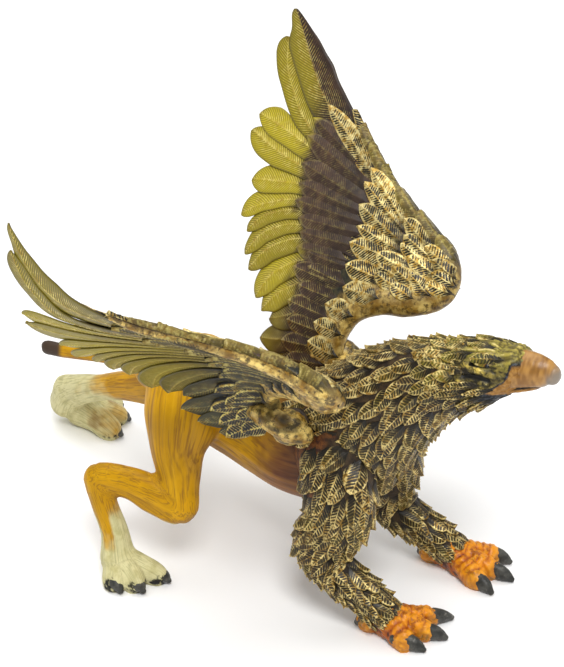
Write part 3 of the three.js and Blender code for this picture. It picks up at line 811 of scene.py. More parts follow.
# Head feathers: the scallops that lie back from the crown, one over each eye slit, and the slender
# feathers of the cheeks. Each row is its tip, its root, its half width in mm, its lift and its olive.
HEAD_FEATHERS = [
    ([0, -30.5, 60], [0, -37.5, 64.5], 2.5, 1.3, 0.2),
    ([3.4, -32.5, 61], [2.8, -39.5, 65], 2.3, 1.2, 0.25),
    ([0.4, -36.6, 64.6], [0.3, -43.8, 67], 2.5, 1, 0.35),
    ([4.6, -37.4, 63.6], [3.3, -44, 66.6], 2.1, 1, 0.3),
    ([2.3, -41.6, 66.6], [1.6, -48, 67.8], 2, 0.7, 0.45),
    ([4.6, -44, 66], [3.2, -50.6, 66.9], 1.5, 0.6, 0.4),
    ([6.3, -38.8, 61.6], [5, -45, 63.8], 1.4, 0.9, 0.15),
    ([7.2, -40, 59.8], [6.3, -47, 61.6], 1.1, 1, 0.15),
    ([6.4, -43.4, 59.8], [5.4, -49.6, 60.8], 0.9, 0.8, 0.1),
    ([7, -38.4, 57.4], [6.7, -45.4, 59.4], 1.3, 1.1, 0.1),
    ([5.6, -41.4, 56.2], [5.6, -47.6, 58.6], 1.1, 0.9, 0.1),
    ([3.6, -43.2, 55.2], [3.8, -48.8, 57.6], 1.1, 0.9, 0.1),
    ([1.2, -43, 53.8], [1.3, -48.6, 57], 1.2, 0.9, 0.1),
]
crown_skin = skin_of(head)
grown = []
for tip, root, half, lift, olive in HEAD_FEATHERS:
    for side in (1, -1) if tip[0] > 0.1 else (1,):
        root_at, tip_at = place([side * root[0], *root[1:]]), place([side * tip[0], *tip[1:]])
        found = np.array(crown_skin.find_nearest(Vector(root_at))[0])
        masks = {"tone": dice.uniform(0.2, 0.8), "gold": dice.uniform(0.7, 1), "olive": olive}
        length = np.linalg.norm(tip_at - root_at)
        grown.append(draped(crown_skin, found, tip_at - root_at, length, half * MM, lift * MM, masks, 0.8))
head_feathers = sheet_of("head_feathers", grown, body_gold)
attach(head_feathers, "root")

# Eyes: a small bead deep in each slit, moulded with the head, painted amber with a black pupil. The
# enamel is glossy here, so each eye shows a small bright highlight.
EYE = [4.15, -47.6, 65.15]
EYE_RADIUS = 0.72
eye_paint, tree = new_material("gloss amber and black enamel")
tone = painted(tree, "#7A4E16", ("#0B0A09", "pupil", 1, 0.25, 0.45))
finish_paint(tree, tone, 0.16, (0.5,), 0.01, coat=0.6)
beads = []
for side in (-1, 1):
    verts, faces = loft([[0, 0, 0, 1, 1], [0, 0.01, 0, 1, 1]], 20, 1, ends=8)
    face_to = unit(np.array([side * 0.9, -0.35, 0.25]))
    verts = unit(verts - verts.mean(0))
    facing = verts @ face_to
    where = place([side * EYE[0], EYE[1], EYE[2]])
    beads.append((where + verts * EYE_RADIUS * SHARE, faces, {"pupil": np.clip(facing * 1.4 - 0.6, 0, 1)}))
eyes = sheet_of("eyes", beads, eye_paint)
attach(eyes, "root")

# Beak: two halves of the same moulding, the upper one hooked over the thin lower one. The paint is
# tan-orange, finely streaked down its sides and grey at the tip, with a dark line between the halves.
UPPER_BEAK = [
    [0, -46.5, 61.6, 4.8, 3.1],
    [0, -50, 62.8, 4.6, 3.6],
    [0, -52.3, 63.8, 4, 3.95],
    [0, -55.4, 64.4, 3.2, 3.6],
    [0, -57.4, 64.6, 2.6, 3.15],
    [0, -58.6, 64.6, 2.15, 2.65],
    [0, -59.3, 64.5, 1.75, 2.1],
]
LOWER_BEAK = [
    [0, -47, 59.2, 4, 1.2],
    [0, -51, 59.9, 3.4, 1.1],
    [0, -54.5, 60.7, 2.3, 0.8],
    [0, -56.6, 61.3, 1.2, 0.6],
]
beak = one_skin("beak", [loft(UPPER_BEAK, 36), loft(LOWER_BEAK, 28)], voxel=0.3 * MM, rounds=3)
at, out, shares = surface(beak)
x, y, z = shares.T
lips = np.interp(y, [-58, -56.6, -51, -47], [61.9, 61.5, 60.3, 59.6])
line = np.exp(-(((z - lips) / 0.3) ** 2)) * step(-57.8, -56.8, y)
ridge = np.exp(-((x / 0.8) ** 2)) * step(65, 67, z) * 0.25 * SHARE
nostril = np.exp(-(((y + 53.4) / 0.7) ** 2) - ((z - 64.6) / 0.28) ** 2)
streaks = noise(np.stack([x * 0.5, y * 1.5, z * 0.3], 1) + 3, 21)
grain = noise(np.stack([x * 1.2, y * 3.4, z * 0.7], 1) + 3, 22)
rise = ridge - (line * 0.5 + nostril * 0.4) * SHARE + (grain - 0.5) * 0.07 * SHARE
move_points(beak, at + out * rise[:, None])
paint_masks(
    beak,
    line=np.maximum(line, 0.8 * nostril),
    streaks=0.55 * streaks + 0.45 * grain,
    tip=step(-57.6, -60.2, y + 0.55 * (z - 64.6) + 1.2 * (streaks - 0.5)),
)
# Tan enamel over vinyl: satin, with a faint sheen like horn, and dull grey where the tip is worn.
horn, tree = new_material("tan satin enamel on vinyl")
tone = painted(
    tree,
    "#80561F",
    ("#AB7E3E", "streaks", 1, 0.25, 0.75),
    ("#6B4D22", (1.5, 4), 0.4, 0.5, 0.75),
    ("#7C776F", "tip", 0.85),
    ("#2A2118", "line", 1, 0.3, 0.8),
)
finish_paint(tree, tone, 0.36, (0.6,), 0.04, coat=0.1, gloss=0.35)
beak.data.materials.append(horn)
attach(beak, "root")

# Fore feet: an eagle's scaly toes, one piece with the legs. The paint is orange, mottled with red-brown
# in the wrinkles and yellow where each talon starts.
FORE_TOES = [
    ([-12.3, -30, 3.8], [[-5.2, -37.4, 2.1], [-9.8, -38.8, 2.1], [-14.6, -36.8, 2], [-12.6, -27.2, 2]]),
    ([14.6, -31, 3.8], [[20.4, -39, 2.1], [15.8, -41.2, 2.1], [11.2, -40, 2], [14.8, -27, 2]]),
]
SCUTE_PITCH = 1.75 * MM
toes = [toe(root, knuckle, 2.5, arch=0.5) for root, knuckles in FORE_TOES for knuckle in knuckles]
shanks = [[[*row[-2][:3], 2.6, 2.9], row[-1]] for row in (FORE_RIGHT, FORE_LEFT)]
parts = [loft(row, 22) for row in [*toes, *shanks]]
fore_feet = one_skin("fore_feet", parts, voxel=0.3 * MM, rounds=6)
at, out, _ = surface(fore_feet)
run, off = along_limbs(at, [*toes, *shanks])
lumps = noise(at / (1.7 * MM), 31)
fine = noise(at / (0.62 * MM), 32)
creases = np.abs(2 * noise(at / (1.15 * MM), 33) - 1)
scutes = np.abs(np.sin(run % 1 * math.pi / SCUTE_PITCH + 1.5 * lumps)) ** 0.6
top = step(-0.1, 0.6, out[:, 2])
depth = 0.5 * MM * (lumps - 0.5) + 0.2 * MM * (fine - 0.5) + 0.3 * MM * (scutes - 0.6) * top
depth = depth + 0.3 * MM * (creases - 0.5)
move_points(fore_feet, at + out * depth[:, None])
FORE_KNUCKLES = [knuckle for _, knuckles in FORE_TOES for knuckle in knuckles]
paint_masks(
    fore_feet,
    lumps=np.clip(0.3 * lumps + 0.15 * fine + 0.3 * creases + 0.3 * scutes * top, 0, 1),
    rim=step(3.6 * MM, 2.6 * MM, gap_to(at, FORE_KNUCKLES) + 0.5 * MM * (fine - 0.5)),
)
# Orange enamel over vinyl: satin, light on top of the scales and red-brown between them.
orange_vinyl, tree = new_material("orange enamel on vinyl")
tone = painted(
    tree,
    "#A4500C",
    ("#E08E14", "lumps", 1, 0.28, 0.62),
    ("#86420F", (2.6, 4, 0.65), 0.8, 0.52, 0.66),
    ("#4A2010", "lumps", 1, 0.3, 0.18),
    ("#E8A824", (1.7, 3), 0.5, 0.58, 0.7),
    ("#E3AA34", "rim", 0.3),
)
finish_paint(tree, tone, 0.34, (0.5, 3), 0.09, gloss=0.3)
fore_feet.data.materials.append(orange_vinyl)
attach(fore_feet, "root")

# Talons and claws: the same vinyl, flat-sided and blunt for a toy, painted dark grey with pale scuffs.
# Each row is the tip that a claw reaches, in the order of the knuckles.
TALON_TIPS = [
    [-1.6, -40.9, 1.3],
    [-8.2, -43, 1.3],
    [-14, -41, 1.3],
    [-13, -25, 1.6],
    [21.6, -42.6, 1.3],
    [16.2, -45.8, 1.3],
    [10, -44.1, 1.3],
    [15, -24.6, 1.6],
]
CLAW_TIPS = [
    [-27.9, 22.2, 1.5],
    [-25.6, 18.2, 1.5],
    [-19.8, 15.6, 1.5],
    [31.8, 60.2, 1.5],
    [27.7, 55.6, 1.5],
    [21.4, 53.7, 1.5],
]
NAIL_CLEARANCE = 0.2 * MM


def claw(knuckle, tip, broad, tall):
    """A claw's stations: swollen where it leaves the toe, then arched down to a blunt tip."""
    knuckle, tip = np.array(knuckle), np.array(tip)
    shares = ((-0.45, 0.95, 0.2), (0, 1.04, 0.4), (0.4, 0.94, 0.45), (0.72, 0.7, 0.25), (0.97, 0.36, -0.1))
    return [
        [*(knuckle + (tip - knuckle) * t + np.array([0, 0, rise])), width * broad, width * tall]
        for t, width, rise in shares
    ]


nails = [claw(knuckle, tip, 1.45, 1.95) for knuckle, tip in zip(FORE_KNUCKLES, TALON_TIPS)]
nails += [claw(knuckle, tip, 1.8, 1.75) for knuckle, tip in zip(HIND_KNUCKLES, CLAW_TIPS)]
claws = mesh_object("claws", *joined([loft(row, 18, 5) for row in nails]))
at, out, _ = surface(claws)
at += out * (0.16 * MM * (noise(at / (0.9 * MM), 36) - 0.5))[:, None]
at[:, 2] = np.maximum(at[:, 2], NAIL_CLEARANCE)
move_points(claws, at)
# Dark grey enamel: satin, so the talons show soft highlights, with pale chips where it is scuffed.
black_vinyl, tree = new_material("dark grey satin enamel on vinyl")
tone = painted(
    tree, "#262622", ("#45443E", (2.2, 4), 1, 0.35, 0.65), ("#8A847C", (1.1, 5, 0.8), 0.6, 0.6, 0.68)
)
finish_paint(tree, tone, 0.42, (0.7, 4), 0.12, gloss=0.4)
claws.data.materials.append(black_vinyl)
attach(claws, "root")

# Wings: each is one vinyl moulding, seated on the shoulder. The left one is laid out flat in shares
# back from the shoulder and up the wing, then bent onto its dished sheet. The right is its mirror image.
WING_ROOT = np.array([13, -7, 45])
WING_LEAN, WING_TOE = math.radians(54.4), math.radians(10.7)
WING_BACK = np.array([math.sin(WING_TOE), math.cos(WING_TOE), 0])
WING_UPWARD = np.array([math.cos(WING_TOE), -math.sin(WING_TOE), 0]) * math.cos(WING_LEAN)
WING_UPWARD = WING_UPWARD + np.array([0, 0, math.sin(WING_LEAN)])
WING_UPPER_SIDE = np.cross(WING_UPWARD, WING_BACK)


def dish(a, b):
    """How far the sheet stands off a flat one, in shares; a and b run back along it and up it."""
    low = 0.7 + 7.2 * a + 21 * b - 20.3 * a * a - 19.7 * a * b - 61 * b * b
    return low + 9.3 * a**3 + 8 * a * a * b + 24.2 * a * b * b + 32.8 * b**3


def on_wing(back, up, rise=0.0):
    """Places on the left wing's sheet, raised in metres towards the upper side."""
    back, up = np.asarray(back, float)[..., None], np.asarray(up, float)[..., None]
    off = dish(back / 40, up / 60) * SHARE + np.asarray(rise)[..., None]
    return place(WING_ROOT + back * WING_BACK + up * WING_UPWARD) + off * WING_UPPER_SIDE


# The arm runs from the shoulder through the elbow to the wrist, and out along the leading edge. Each
# row is its place back and up the wing, its half width across the sheet and its half depth.
ARM = [
    [1, -2.4, 2, 2],
    [1.4, 2, 1.6, 1.8],
    [1.2, 6, 1.7, 2],
    [-0.6, 10.2, 2.2, 2.3],
    [-4.8, 13.8, 2.8, 2.5],
    [-10.6, 16.4, 3.3, 2.7],
    [-14.2, 20.8, 3.6, 2.9],
    [-12.4, 26, 3.1, 2.6],
    [-6.8, 29.6, 2.4, 2.1],
    [0.8, 33.2, 1.9, 1.7],
    [9.6, 38, 1.4, 1.4],
    [17.4, 43.2, 1.1, 1.2],
    [22.6, 47, 0.8, 0.8],
]
# Each flight feather runs from its tip to its quill. The first line only bounds the next one's vane.
FLIGHT = [
    [[40.4, 64.4], [35.2, 57.6], [26.2, 50.2], [9, 39]],
    [[41, 63.2], [35.4, 53.2], [27, 45.6], [2, 33.6]],
    [[42.2, 57.4], [40.2, 49.2], [29.2, 40], [-3, 31]],
    [[44.9, 40.2], [38.4, 39.2], [25, 36.4], [-6.8, 29.6]],
    [[45.4, 36.4], [37.6, 34.3], [24, 32.2], [-9.6, 27.6]],
    [[40.6, 26.6], [34, 28.2], [22, 29.4], [-12, 25.4]],
    [[39.3, 18.8], [33.7, 23.1], [21, 26.6], [-13.2, 23]],
    [[35.8, 16], [31.5, 21.5], [19.5, 24.4], [-13.8, 20.6]],
    [[33.6, 11.4], [30, 18], [18, 22], [-12.8, 18.4]],
    [[30.9, 8.8], [26.6, 15.6], [15.4, 19.8], [-10, 16.4]],
    [[25.9, 4], [22.6, 11.2], [12.6, 16.4], [-6.8, 14.8]],
    [[23.1, 2], [19.2, 7.6], [11, 12.4], [-4, 13.4]],
    [[20.2, 1.2], [15.6, 3.4], [9, 7.6], [-0.4, 10.2]],
    [[21.4, -3.2], [15.4, -1.6], [8.6, 2.4], [1.4, 6.4]],
    [[18.4, -6.4], [13.6, -5.6], [8, -1.6], [1.8, 2.8]],
    [[14, -8.6], [11, -7.6], [7, -4.6], [1.8, -0.6]],
]
# The right wing's outer feathers end a little sooner than the left one's.
RIGHT_ENDS = {
    2: [[41, 58], [37.8, 50]],
    3: [[42.6, 40.2], [37.2, 39.4]],
    4: [[43, 36.2], [36.6, 34.4]],
    5: [[38.4, 27], [33, 28.3]],
    6: [[37, 20.2], [32.4, 23.6]],
    7: [[33.6, 17.4], [30, 21.8]],
    8: [[31.4, 13], [28.4, 18.4]],
    9: [[29, 10.2], [25.6, 16]],
}
RIGHT_FLIGHT = [RIGHT_ENDS.get(number, line[:2]) + line[2:] for number, line in enumerate(FLIGHT)]
LINES = {"left": FLIGHT, "right": RIGHT_FLIGHT}
# The widest half vane of the outer feathers. The right wing's third and fourth are broader, so that no
# daylight shows where their ends are shorter.
VANE_LIMITS = {"left": {1: 4.3, 2: 2.5}, "right": {1: 4.3, 2: 2.5, 3: 4.6, 4: 4.6}}
COMMON_VANE_LIMIT = 3.5
BLADE_TILT, BLADE_BARBS, BLADE_QUILL = 0.42 * MM, 0.055 * MM, 0.2 * MM
BLADE_HALF, BLADE_THINNING = 0.46 * MM, 0.26 * MM
BLADE_COLUMNS = np.array([-1, -0.85, -0.45, -0.09, 0, 0.09, 0.45, 0.85, 1])


def strip(line):
    """A feather's middle line from quill to tip: its points, directions and distances, in shares."""
    points = smooth(line[::-1], 14)
    run = np.concatenate([[0], np.cumsum(np.linalg.norm(np.diff(points, axis=0), axis=1))])
    return points, unit(np.gradient(points, axis=0)), run


def along_strip(strip_of, distance):
    """The point and direction at each distance along a feather's middle line."""
    points, ways, run = strip_of
    at = np.stack([np.interp(distance, run, points[:, k]) for k in (0, 1)], -1)
    way = unit(np.stack([np.interp(distance, run, ways[:, k]) for k in (0, 1)], -1))
    return at, way


def room(strip_of, other, most, part):
    """Half widths along a feather that reach the given part of the way to its neighbour."""
    gaps = np.linalg.norm(strip_of[0][:, None] - strip(other)[0][None], axis=2).min(1)
    return np.clip(gaps * part, 0.7, most)


def blade(number, side_name):
    """A flight feather's two faces, tilted so that its rear edge lies on the next one.

    Also the places of its grid, back and up the wing, its masks and the distance to its tip.
    """
    lines = LINES[side_name]
    own = strip(lines[number])
    points, _, run = own
    length = run[-1]
    most = VANE_LIMITS[side_name].get(number, COMMON_VANE_LIMIT)
    front = room(own, lines[number - 1], most, 1.0 if number == 1 else 0.7)
    last = number + 1 == len(lines)
    overlap = 0.7 + 0.05 * (number < 3) + 0.25 * (most > 4.5)
    rear = np.full(len(points), 2.2) if last else room(own, lines[number + 1], most, overlap)
    start = 0.16 * length
    pitch = BARB_PITCH / SHARE
    barbs = int((length - start) / pitch)
    t = np.arange(2 * barbs + 1) / (2 * barbs)
    middle_run = start + (length - start) * t[:, None]
    v = BLADE_COLUMNS[None, :]
    wide = np.where(v < 0, np.interp(middle_run, run, front), np.interp(middle_run, run, rear))
    ending = np.clip((length - middle_run) / (1.8 * most), 0, 1)
    shift = np.abs(v) * wide * 0.95 * ending**0.5
    reach = np.clip(middle_run + shift, 0, length * 0.998)
    to_end = np.clip((length - reach) / (1.6 * most), 0.004, 1)
    wide = wide * (1 - (1 - to_end) ** 2) ** 0.62
    at, way = along_strip(own, reach)
    side = np.stack([-way[..., 1], way[..., 0]], -1)
    toward = -1 if last else 1
    other = lines[number - 1] if last else lines[number + 1]
    turned = np.sign(((np.array(other[1]) - lines[number][1]) * side[len(t) // 2, 4]).sum()) * toward
    at = at + side * (v * wide * turned)[..., None]
    odd = (np.arange(len(t)) % 2)[:, None]
    middle = np.exp(-((v / 0.06) ** 2))
    rim = step(0.7, 1, np.abs(v))
    thin = 1 - 0.55 * (reach / length) ** 3
    tilt = BLADE_TILT * v * thin
    relief = BLADE_BARBS * (2 * odd - 1) * (1 - middle) * (1 - rim) + BLADE_QUILL * middle
    half = (BLADE_HALF - BLADE_THINNING * np.abs(v) ** 2) * thin
    crest = np.clip(odd * (1 - middle) * (1 - rim) + middle + 0.2 * rim, 0, 1)
    top = on_wing(at[..., 0], at[..., 1], tilt + half + relief)
    under = on_wing(at[..., 0], at[..., 1], tilt - half - relief * 0.8)
    return top, under, at, {"crest": crest, "tip": reach / length + 0 * v}, length - reach


def closed_blade(top, under, masks):
    """The two faces of a feather sewn together round their edges, with each mask on both of them."""
    rows, columns = top.shape[:2]
    count = rows * columns
    faces = grid_faces(rows, columns) + grid_faces(rows, columns, count, flip=True)
    rim = [(r, 0) for r in range(rows)] + [(rows - 1, c) for c in range(1, columns)]
    rim += [(r, columns - 1) for r in range(rows - 2, -1, -1)] + [(0, c) for c in range(columns - 2, 0, -1)]
    loop = [r * columns + c for r, c in rim]
    for a, b in zip(loop, loop[1:] + loop[:1]):
        faces.append((a, b, b + count, a + count))
    both = {key: np.concatenate([value.ravel(), value.ravel()]) for key, value in masks.items()}
    return np.vstack([top.reshape(-1, 3), under.reshape(-1, 3)]), faces, both


def facing_out(verts, faces):
    """The faces, turned over if their normals point inwards."""
    probe = np.array([[verts[f[0]], verts[f[1]], verts[f[2]]] for f in faces])
    volume = np.einsum("ij,ij->i", probe[:, 0], np.cross(probe[:, 1], probe[:, 2])).sum()
    return faces if volume > 0 else [face[::-1] for face in faces]


def both_wings(name, pieces, material, right_pieces=None):
    """The pieces on the left wing, and their mirror images on the right one."""
    for side, sign, own in (("left", 1, pieces), ("right", -1, right_pieces or pieces)):
        turned = [(p[0] * [sign, 1, 1], [f[::sign] for f in p[1]], p[2]) for p in own]
        thing = sheet_of(f"{name}_{side}", turned, material)
        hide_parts(f"wing_{side}")
        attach(thing, "root")


# The edge of the olive spray: how far back it lies at each height up the wing.
EDGE_UP = [4, 8, 12.6, 17.2, 21.4, 23.8, 27.3, 32.1, 36, 39.9, 46]
EDGE_BACK = [15.8, 16.9, 18.1, 19, 21.5, 25.2, 27, 29.3, 29.9, 31, 31]


def sprayed_olive(back, up):
    """Where the olive spray lies over the brown: outside a soft, mottled edge across the wing."""
    cells = np.stack([back / 2, up / 2, 0 * up], -1).reshape(-1, 3)
    mottle = 3 * (noise(cells, 41) - 0.5) + 1.6 * (noise(cells * 3, 42) - 0.5)
    edge = np.interp(up, EDGE_UP, EDGE_BACK)
    return step(edge - 2, edge + 2.4, back + mottle.reshape(back.shape))


def painted_blade(number, side_name, tone):
    """A flight feather with its masks: brown and olive above, olive and gold below."""
    top, under, at, masks, to_tip = blade(number, side_name)
    back, up = at[..., 0], at[..., 1]
    olive = sprayed_olive(back, up)
    if number > 11:
        olive = np.maximum(0.3 * olive, 0.55 * step(6, 2, to_tip))
    if number == 1:
        behind = BLADE_COLUMNS + 0 * back > 0.02
        olive = np.where(behind, 0.75 * step(29, 35, back), 0.2 * step(40, 42, back))
    olive = olive * (1 - 0.4 * step(1.6, 0, to_tip))
    gold = 0.3 + 0.4 * olive + (0.25 if number == 1 else 0) + 0.15 * (number in (6, 7, 8, 9))
    masks |= {"olive": olive, "gold": gold, "tone": np.clip(tone + 0.1 * step(33, 42, back), 0, 1)}
    verts, faces, both = closed_blade(top, under, {**masks, "navy": 0 * olive})
    below = np.arange(len(verts)) >= len(verts) // 2
    outer = 1.0 if number < 4 else 0.4
    both["olive"] = np.where(below, 0.65 + 0.1 * (number > 4) + 0.15 * both["olive"], both["olive"])
    both["gold"] = np.where(below, outer + 0.4 * step(0.8, 1, both["tip"]), both["gold"])
    both["tone"] = np.where(below, tone * (0.8 if number > 3 else 1), both["tone"])
    blue = max(0.0, min(1.0, (number - 9) / 3)) + step(0.62, 0.3, both["tip"])
    both["navy"] = np.where(below, blue, 0)
    return verts, facing_out(verts, faces), both


blades = {side: [] for side in LINES}
for number in range(1, len(FLIGHT)):
    tone = dice.uniform(0.45, 0.95)
    for side in LINES:
        blades[side].append(painted_blade(number, side, tone))
wing_paint = feather_paint(
    "brown and olive enamel, brushed with gold",
    ("#33241C", "#4D392C"),
    ("#A08038", "#DCCB78"),
    leafy=("#6C6013", "#BFAE28"),
    dark="#1D1713",
    cut=0.5,
    root=(0.05, 0.4),
)
both_wings("flight_feathers", blades["left"], wing_paint, blades["right"])

# The wing's core: the arm along the leading edge and the bed that the coverts stand on, in one skin.
# Its low part and its underside are smooth gold with brown rubbed in; the rest is black-green.
# The bed's height above the sheet, in mm, is given at shares of the way along a feather's line.
BED_SHARES = [0.0, 0.1, 0.2, 0.26, 0.33, 0.42]
BED_RISES = [1.5, 1.6, 1.4, 1.2, 0.8, 0.1]
tops, unders = [], []
for line in FLIGHT:
    one = strip(line)
    at, _ = along_strip(one, np.array(BED_SHARES) * one[2][-1])
    tops.append(on_wing(at[:, 0], at[:, 1], np.array(BED_RISES) * MM))
    unders.append(on_wing(at[:, 0], at[:, 1], np.full(len(at), -0.6 * MM)))
verts, faces, _ = closed_blade(np.array(tops), np.array(unders), {})
bed = (verts, facing_out(verts, faces))
arm_rows = [
    [*((on_wing(back, up) - GROUND_POINT) / SHARE), depth, width] for back, up, width, depth in ARM
]
parts = [loft(arm_rows, 28, count=8, side=WING_UPPER_SIDE), bed]
core = one_skin("wing_core", parts, voxel=0.5 * MM, rounds=5)
verts, out, _ = surface(core)
arm_run, arm_off = along_limbs(verts, [arm_rows])
rough = noise(verts / (2.2 * MM), 52)
scored = hair(arm_run, arm_off, 9 * MM, 1.1 * MM, 51)
verts = verts + out * (0.3 * MM * (rough - 0.5) + 0.16 * MM * (scored - 0.5))[:, None]
core_faces = faces_of(core)
bpy.data.objects.remove(core)
core_tree = BVHTree.FromPolygons(verts.tolist(), core_faces)
underside = step(-0.1, -0.5, out @ WING_UPPER_SIDE)
bare = np.maximum(step(46, 38, arm_run / MM), underside)
bare = bare * step(6.5, 4, np.linalg.norm(arm_off, axis=1) / MM)
bare = bare * (1 - 0.85 * underside * step(13, 8, arm_run / MM))
outer = step(50, 58, arm_run / MM)
core_masks = {"grooves": scored * (0.3 + 0.7 * underside), "bare": bare, "outer": outer}
# Gold enamel with brown rubbed in: a warm satin, cloudy where the brown stays in the grooves.
gold_enamel, tree = new_material("gold enamel with brown rubbed in")
gold = painted(
    tree,
    "#946E1E",
    ("#EDCF78", (3, 3), 1, 0.35, 0.7),
    ("#332812", (1.7, 5, 0.78), 0.85, 0.48, 0.6),
    ("#4B3616", "grooves", 0.6, 0.35, 0),
)
tone = painted(tree, "#191B14", ("#3A3520", (1.6, 3), 1, 0.35, 0.7), ("#46362B", "outer"), (gold, "bare"))
finish_paint(tree, tone, 0.36, (0.7, 3), 0.08, gloss=0.35)
both_wings("wing_core", [(verts, core_faces, core_masks)], gold_enamel)

# Coverts: leaf-shaped feathers laid on the core and on the flight feathers' bases, with gold on the
# small ones near the leading edge, and plain brown on the long ones in the middle of the wing.
arm_line = smooth([row[:2] for row in ARM], 6)
PROBE_FROM = 12 * MM


def resting(back, up, floor, below):
    """Places and normals on top of what the coverts lie on; they wrap round the leading edge."""
    sign = -1 if below else 1
    down = Vector(-sign * WING_UPPER_SIDE)
    flat = np.stack([back.ravel(), up.ravel()], -1)
    gaps = flat[:, None] - arm_line[None]
    pick = (gaps**2).sum(-1).argmin(1)
    way = np.gradient(arm_line, axis=0)[pick]
    gap = gaps[np.arange(len(flat)), pick]
    inside = way[:, 0] * gap[:, 1] - way[:, 1] * gap[:, 0] < 0
    sheet = on_wing(flat[:, 0], flat[:, 1])
    places, normals = [], []
    for point, within in zip(sheet, inside):
        hit, normal, _, _ = core_tree.ray_cast(Vector(point + sign * PROBE_FROM * WING_UPPER_SIDE), down)
        if hit is None and not within:
            hit, normal, _, _ = core_tree.find_nearest(Vector(point))
        elif hit is None or (np.array(hit) - point) @ WING_UPPER_SIDE * sign < floor:
            hit, normal = point + sign * floor * WING_UPPER_SIDE, sign * WING_UPPER_SIDE
        places.append(np.array(hit))
        normals.append(np.array(normal))
    return np.array(places), np.array(normals)


COVERT_FLOOR = 0.75 * MM
ROOT_SINK = 0.25 * MM


def covert(tip, quill, half, masks, lift, deep, below=False, olive=0.0, relief=BARB_RELIEF):
    """A leaf-shaped covert: lift raises its tip, in millimetres, and its root sinks into the core."""
    tip, quill = np.array(tip, float), np.array(quill, float)
    length = np.linalg.norm(tip - quill) * SHARE
    way = (tip - quill) / np.linalg.norm(tip - quill)
    side = np.array([-way[1], way[0]])
    s, across, height, crest, skirt = leaf(length, half * SHARE, deep, 0.2, relief)
    height = height + 0.12 * MM + lift * MM * s**1.2 - ROOT_SINK * step(0.12, 0, s)
    height = np.where(skirt, -0.25 * MM + 0.3 * lift * MM * s**3, height)
    at = quill + (s * length / SHARE)[..., None] * way + (across / SHARE)[..., None] * side
    places, normals = resting(at[..., 0], at[..., 1], COVERT_FLOOR, below)
    verts = places + normals * height.reshape(-1, 1)
    values = {key: np.full(s.size, value) for key, value in masks.items()}
    values["olive"] = (olive * sprayed_olive(at[..., 0], at[..., 1])).ravel()
    values |= {"crest": crest.ravel(), "tip": s.ravel()}
    return verts, grid_faces(*s.shape, flip=not below), values


# Each covert is its tip, its quill and its half width.
GOLD_COVERTS = [
    ([24.6, 51.2], [17.4, 43.6], 1.3),
    ([29, 47], [9, 36], 2.2),
    ([11.4, 38], [-2.8, 29.8], 2.1),
    ([11.2, 34.8], [-1.8, 29], 2),
    ([9.9, 30.2], [-3.4, 26.4], 2.5),
    ([7.6, 26], [-3.6, 24.6], 1.8),
    ([7.4, 22.3], [-6.2, 22.6], 2.9),
    ([5.8, 17.8], [-3.4, 17.8], 2.5),
    ([3.8, 13.3], [-4.2, 14], 2.6),
    ([6.3, 8.8], [-0.4, 8.7], 2.3),
    ([7.7, 4.4], [0.9, 4.3], 2),
    ([7.8, 0.3], [0.6, -0.2], 2.5),
    ([-3.5, 27.7], [-11.1, 25.6], 2.2),
    ([-6.2, 24.1], [-12.9, 22.9], 1.9),
    ([-8.7, 27.5], [-15, 25.3], 1.8),
    ([-4.4, 20.9], [-11.6, 18.9], 2),
    ([-1.6, 18.4], [-7.1, 17.4], 1.7),
    ([-12.4, 20.4], [-17.3, 20.6], 1.6),
    ([-11.7, 25.6], [-16.7, 23.7], 1.7),
    ([-8.4, 20.8], [-13.9, 18.7], 1.8),
    ([-3.6, 26], [-10.4, 24.2], 1.7),
    ([-5.7, 17.4], [-11.1, 16.8], 1.5),
    ([0.2, 22.2], [-7.4, 21.6], 2),
    ([-1.2, 20.2], [-7.5, 19.4], 1.7),
    ([-12.6, 23], [-17.6, 22.2], 1.5),
    ([-1.8, 31], [-9.2, 27.8], 1.9),
]
BROWN_COVERTS = [
    ([31.4, 43.4], [13.7, 37.3], 2.2),
    ([31.4, 39.6], [8.9, 33.8], 3),
    ([29.4, 33.8], [8, 31], 3.2),
    ([27.6, 29.6], [8, 28.8], 3),
    ([26.4, 26], [7, 27], 2.6),
    ([23.2, 22.9], [6, 24.8], 2.6),
    ([20.8, 20.2], [5.4, 22], 2.6),
    ([19.9, 17.2], [6, 18.6], 2.4),
    ([16.4, 17], [5, 17.4], 2.3),
    ([18.3, 13.2], [6, 13.4], 2.6),
    ([14.6, 14.4], [3.5, 13.9], 2.5),
    ([14.9, 10.1], [3.6, 10.4], 2.7),
    ([16.2, 6.4], [4.6, 6.4], 2.7),
    ([14.8, 2.6], [4.6, 3.2], 2.4),
    ([14.8, -1.8], [4.4, 0], 2.5),
    ([12.8, -5], [3.6, -3], 2.4),
]
